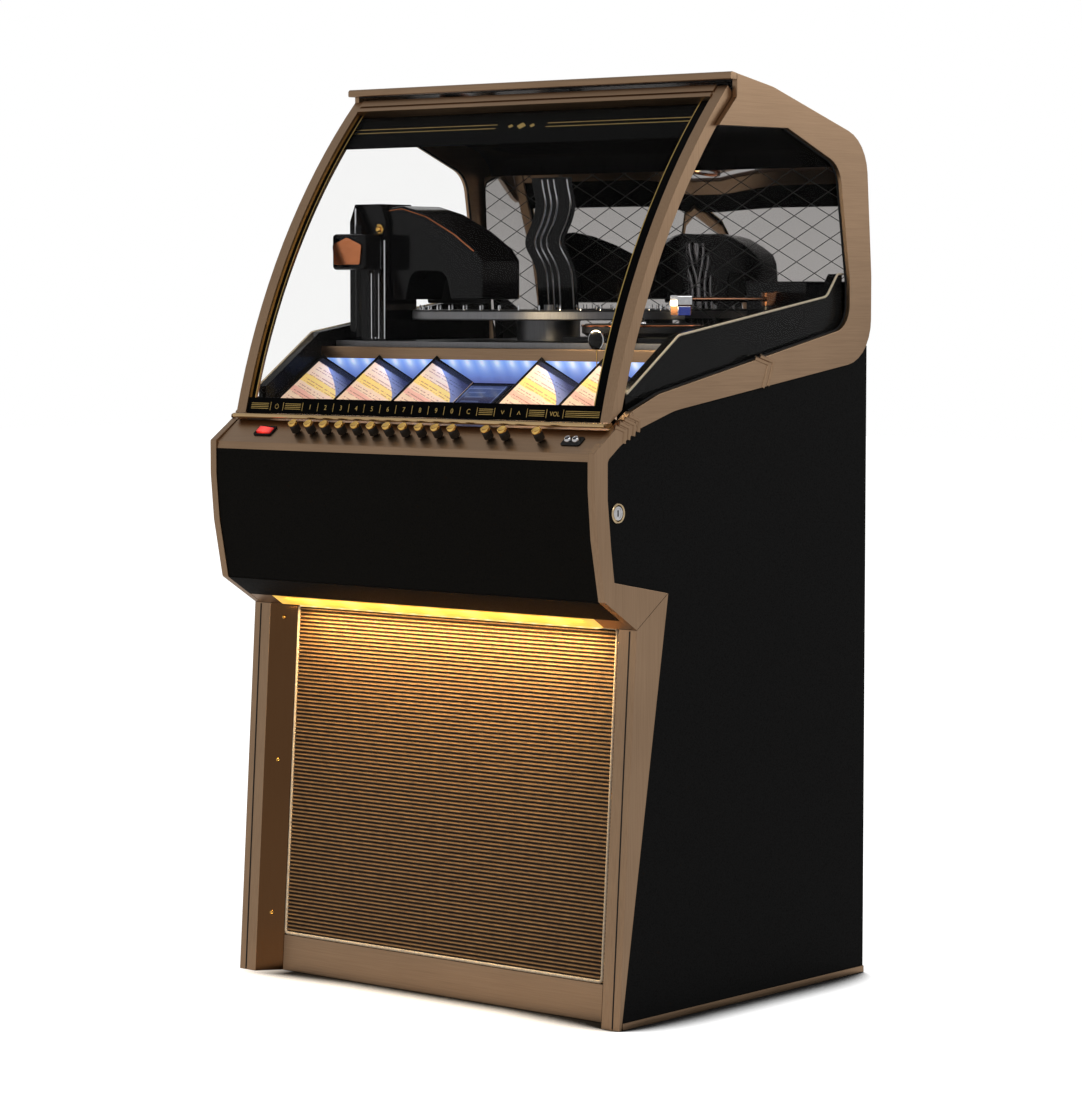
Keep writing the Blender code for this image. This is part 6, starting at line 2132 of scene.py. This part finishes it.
@dataclass(frozen=True)
class PaleFloor:
    """A pale floor, white to the camera where nothing shades it, with a painted contact shadow near the
    object.
    """

    name: str = "pale_floor"
    slot: str = ""
    reach: float = 0.20
    shaded: tuple[float, float] = (0.56, 0.74)
    painted_shadow_clear_left: tuple[float, float] = (-0.43, -0.33)
    glow: float = 0.80
    gloss_glow: float = 0.50

    def paint(self, bench: Bench) -> Wire:
        """Build the shader: it glows to the camera and to gloss where nothing stands close by; close by, its
        colour falls to near black and its glow fades as a painted shadow, except to the left.
        """
        path = bench.node("ShaderNodeLightPath")
        seen = bench.wire(path, "Is Camera Ray").larger(bench.wire(path, "Is Transmission Ray"))
        near = bench.node("ShaderNodeAmbientOcclusion", {"samples": 48}, {"Distance": self.reach})
        x, _, _ = bench.axes()
        # Painted shadow: ambient occlusion near the object, cleared to the left.
        free_of_painted_shadow = bench.wire(near, "AO").ease(*self.shaded).larger(1 - x.ease(*self.painted_shadow_clear_left))
        speck = bench.noise(bench.place(), 20.0, 2.0)
        pale = bench.mix(speck, (0.86, 0.86, 0.86), (0.88, 0.88, 0.88))
        pale = bench.mix(seen, (0.30, 0.29, 0.28), pale)
        base = bench.mix(free_of_painted_shadow, (0.02, 0.02, 0.02), pale)
        matt = bench.wire(bench.node("ShaderNodeBsdfDiffuse", {}, {"Color": base}))
        glossy = bench.wire(path, "Is Glossy Ray") * self.gloss_glow
        strength = (seen * self.glow).larger(glossy) * free_of_painted_shadow
        glow = bench.wire(bench.node("ShaderNodeEmission", {}, {"Strength": strength}))
        return bench.wire(bench.node("ShaderNodeAddShader", {}, {0: matt, 1: glow}))


def ceiling_height(y: float) -> float:
    """Give the height of the roof panel's underside at a y.

    Args:
        y: How far back.

    Returns:
        The height: the lower of a line along the roof's outline less 0.0125, and the roof panel's highest
            vertex less 0.0105.
    """
    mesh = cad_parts["roof_panel"].data
    flat = np.empty(len(mesh.vertices) * 3)
    mesh.vertices.foreach_get("co", flat)
    points = np.unique(np.round(flat.reshape(-1, 3)[:, 1:], 5), axis=0)
    upper = SIDE.at(0.621, 0.9863)
    slope = (SIDE.at(0.977, 0.9337)[1] - upper[1]) / (SIDE.at(0.977, 0.9337)[0] - upper[0])
    outside = upper[1] + max(0.0, y - upper[0]) * slope - max(0.0, upper[0] - y) * -0.03
    return min(outside - 0.0125, float(points[:, 1].max()) - 0.0105)


def main() -> None:
    """Build each sub-assembly in turn and report it."""
    logging.basicConfig(level=logging.INFO, format="%(name)s: %(message)s")
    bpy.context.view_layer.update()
    compartment = Compartment()
    for part in (Cabinet(), LowerFront(), Nose(), Controls(), Door(), compartment, TitleRack(), Changer(),
                 Studio()):
        LOG.info("building %s", type(part).__name__)
        part.build()
    compartment.downlights(ceiling_height)
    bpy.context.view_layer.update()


if __name__ == "__main__":
    main()
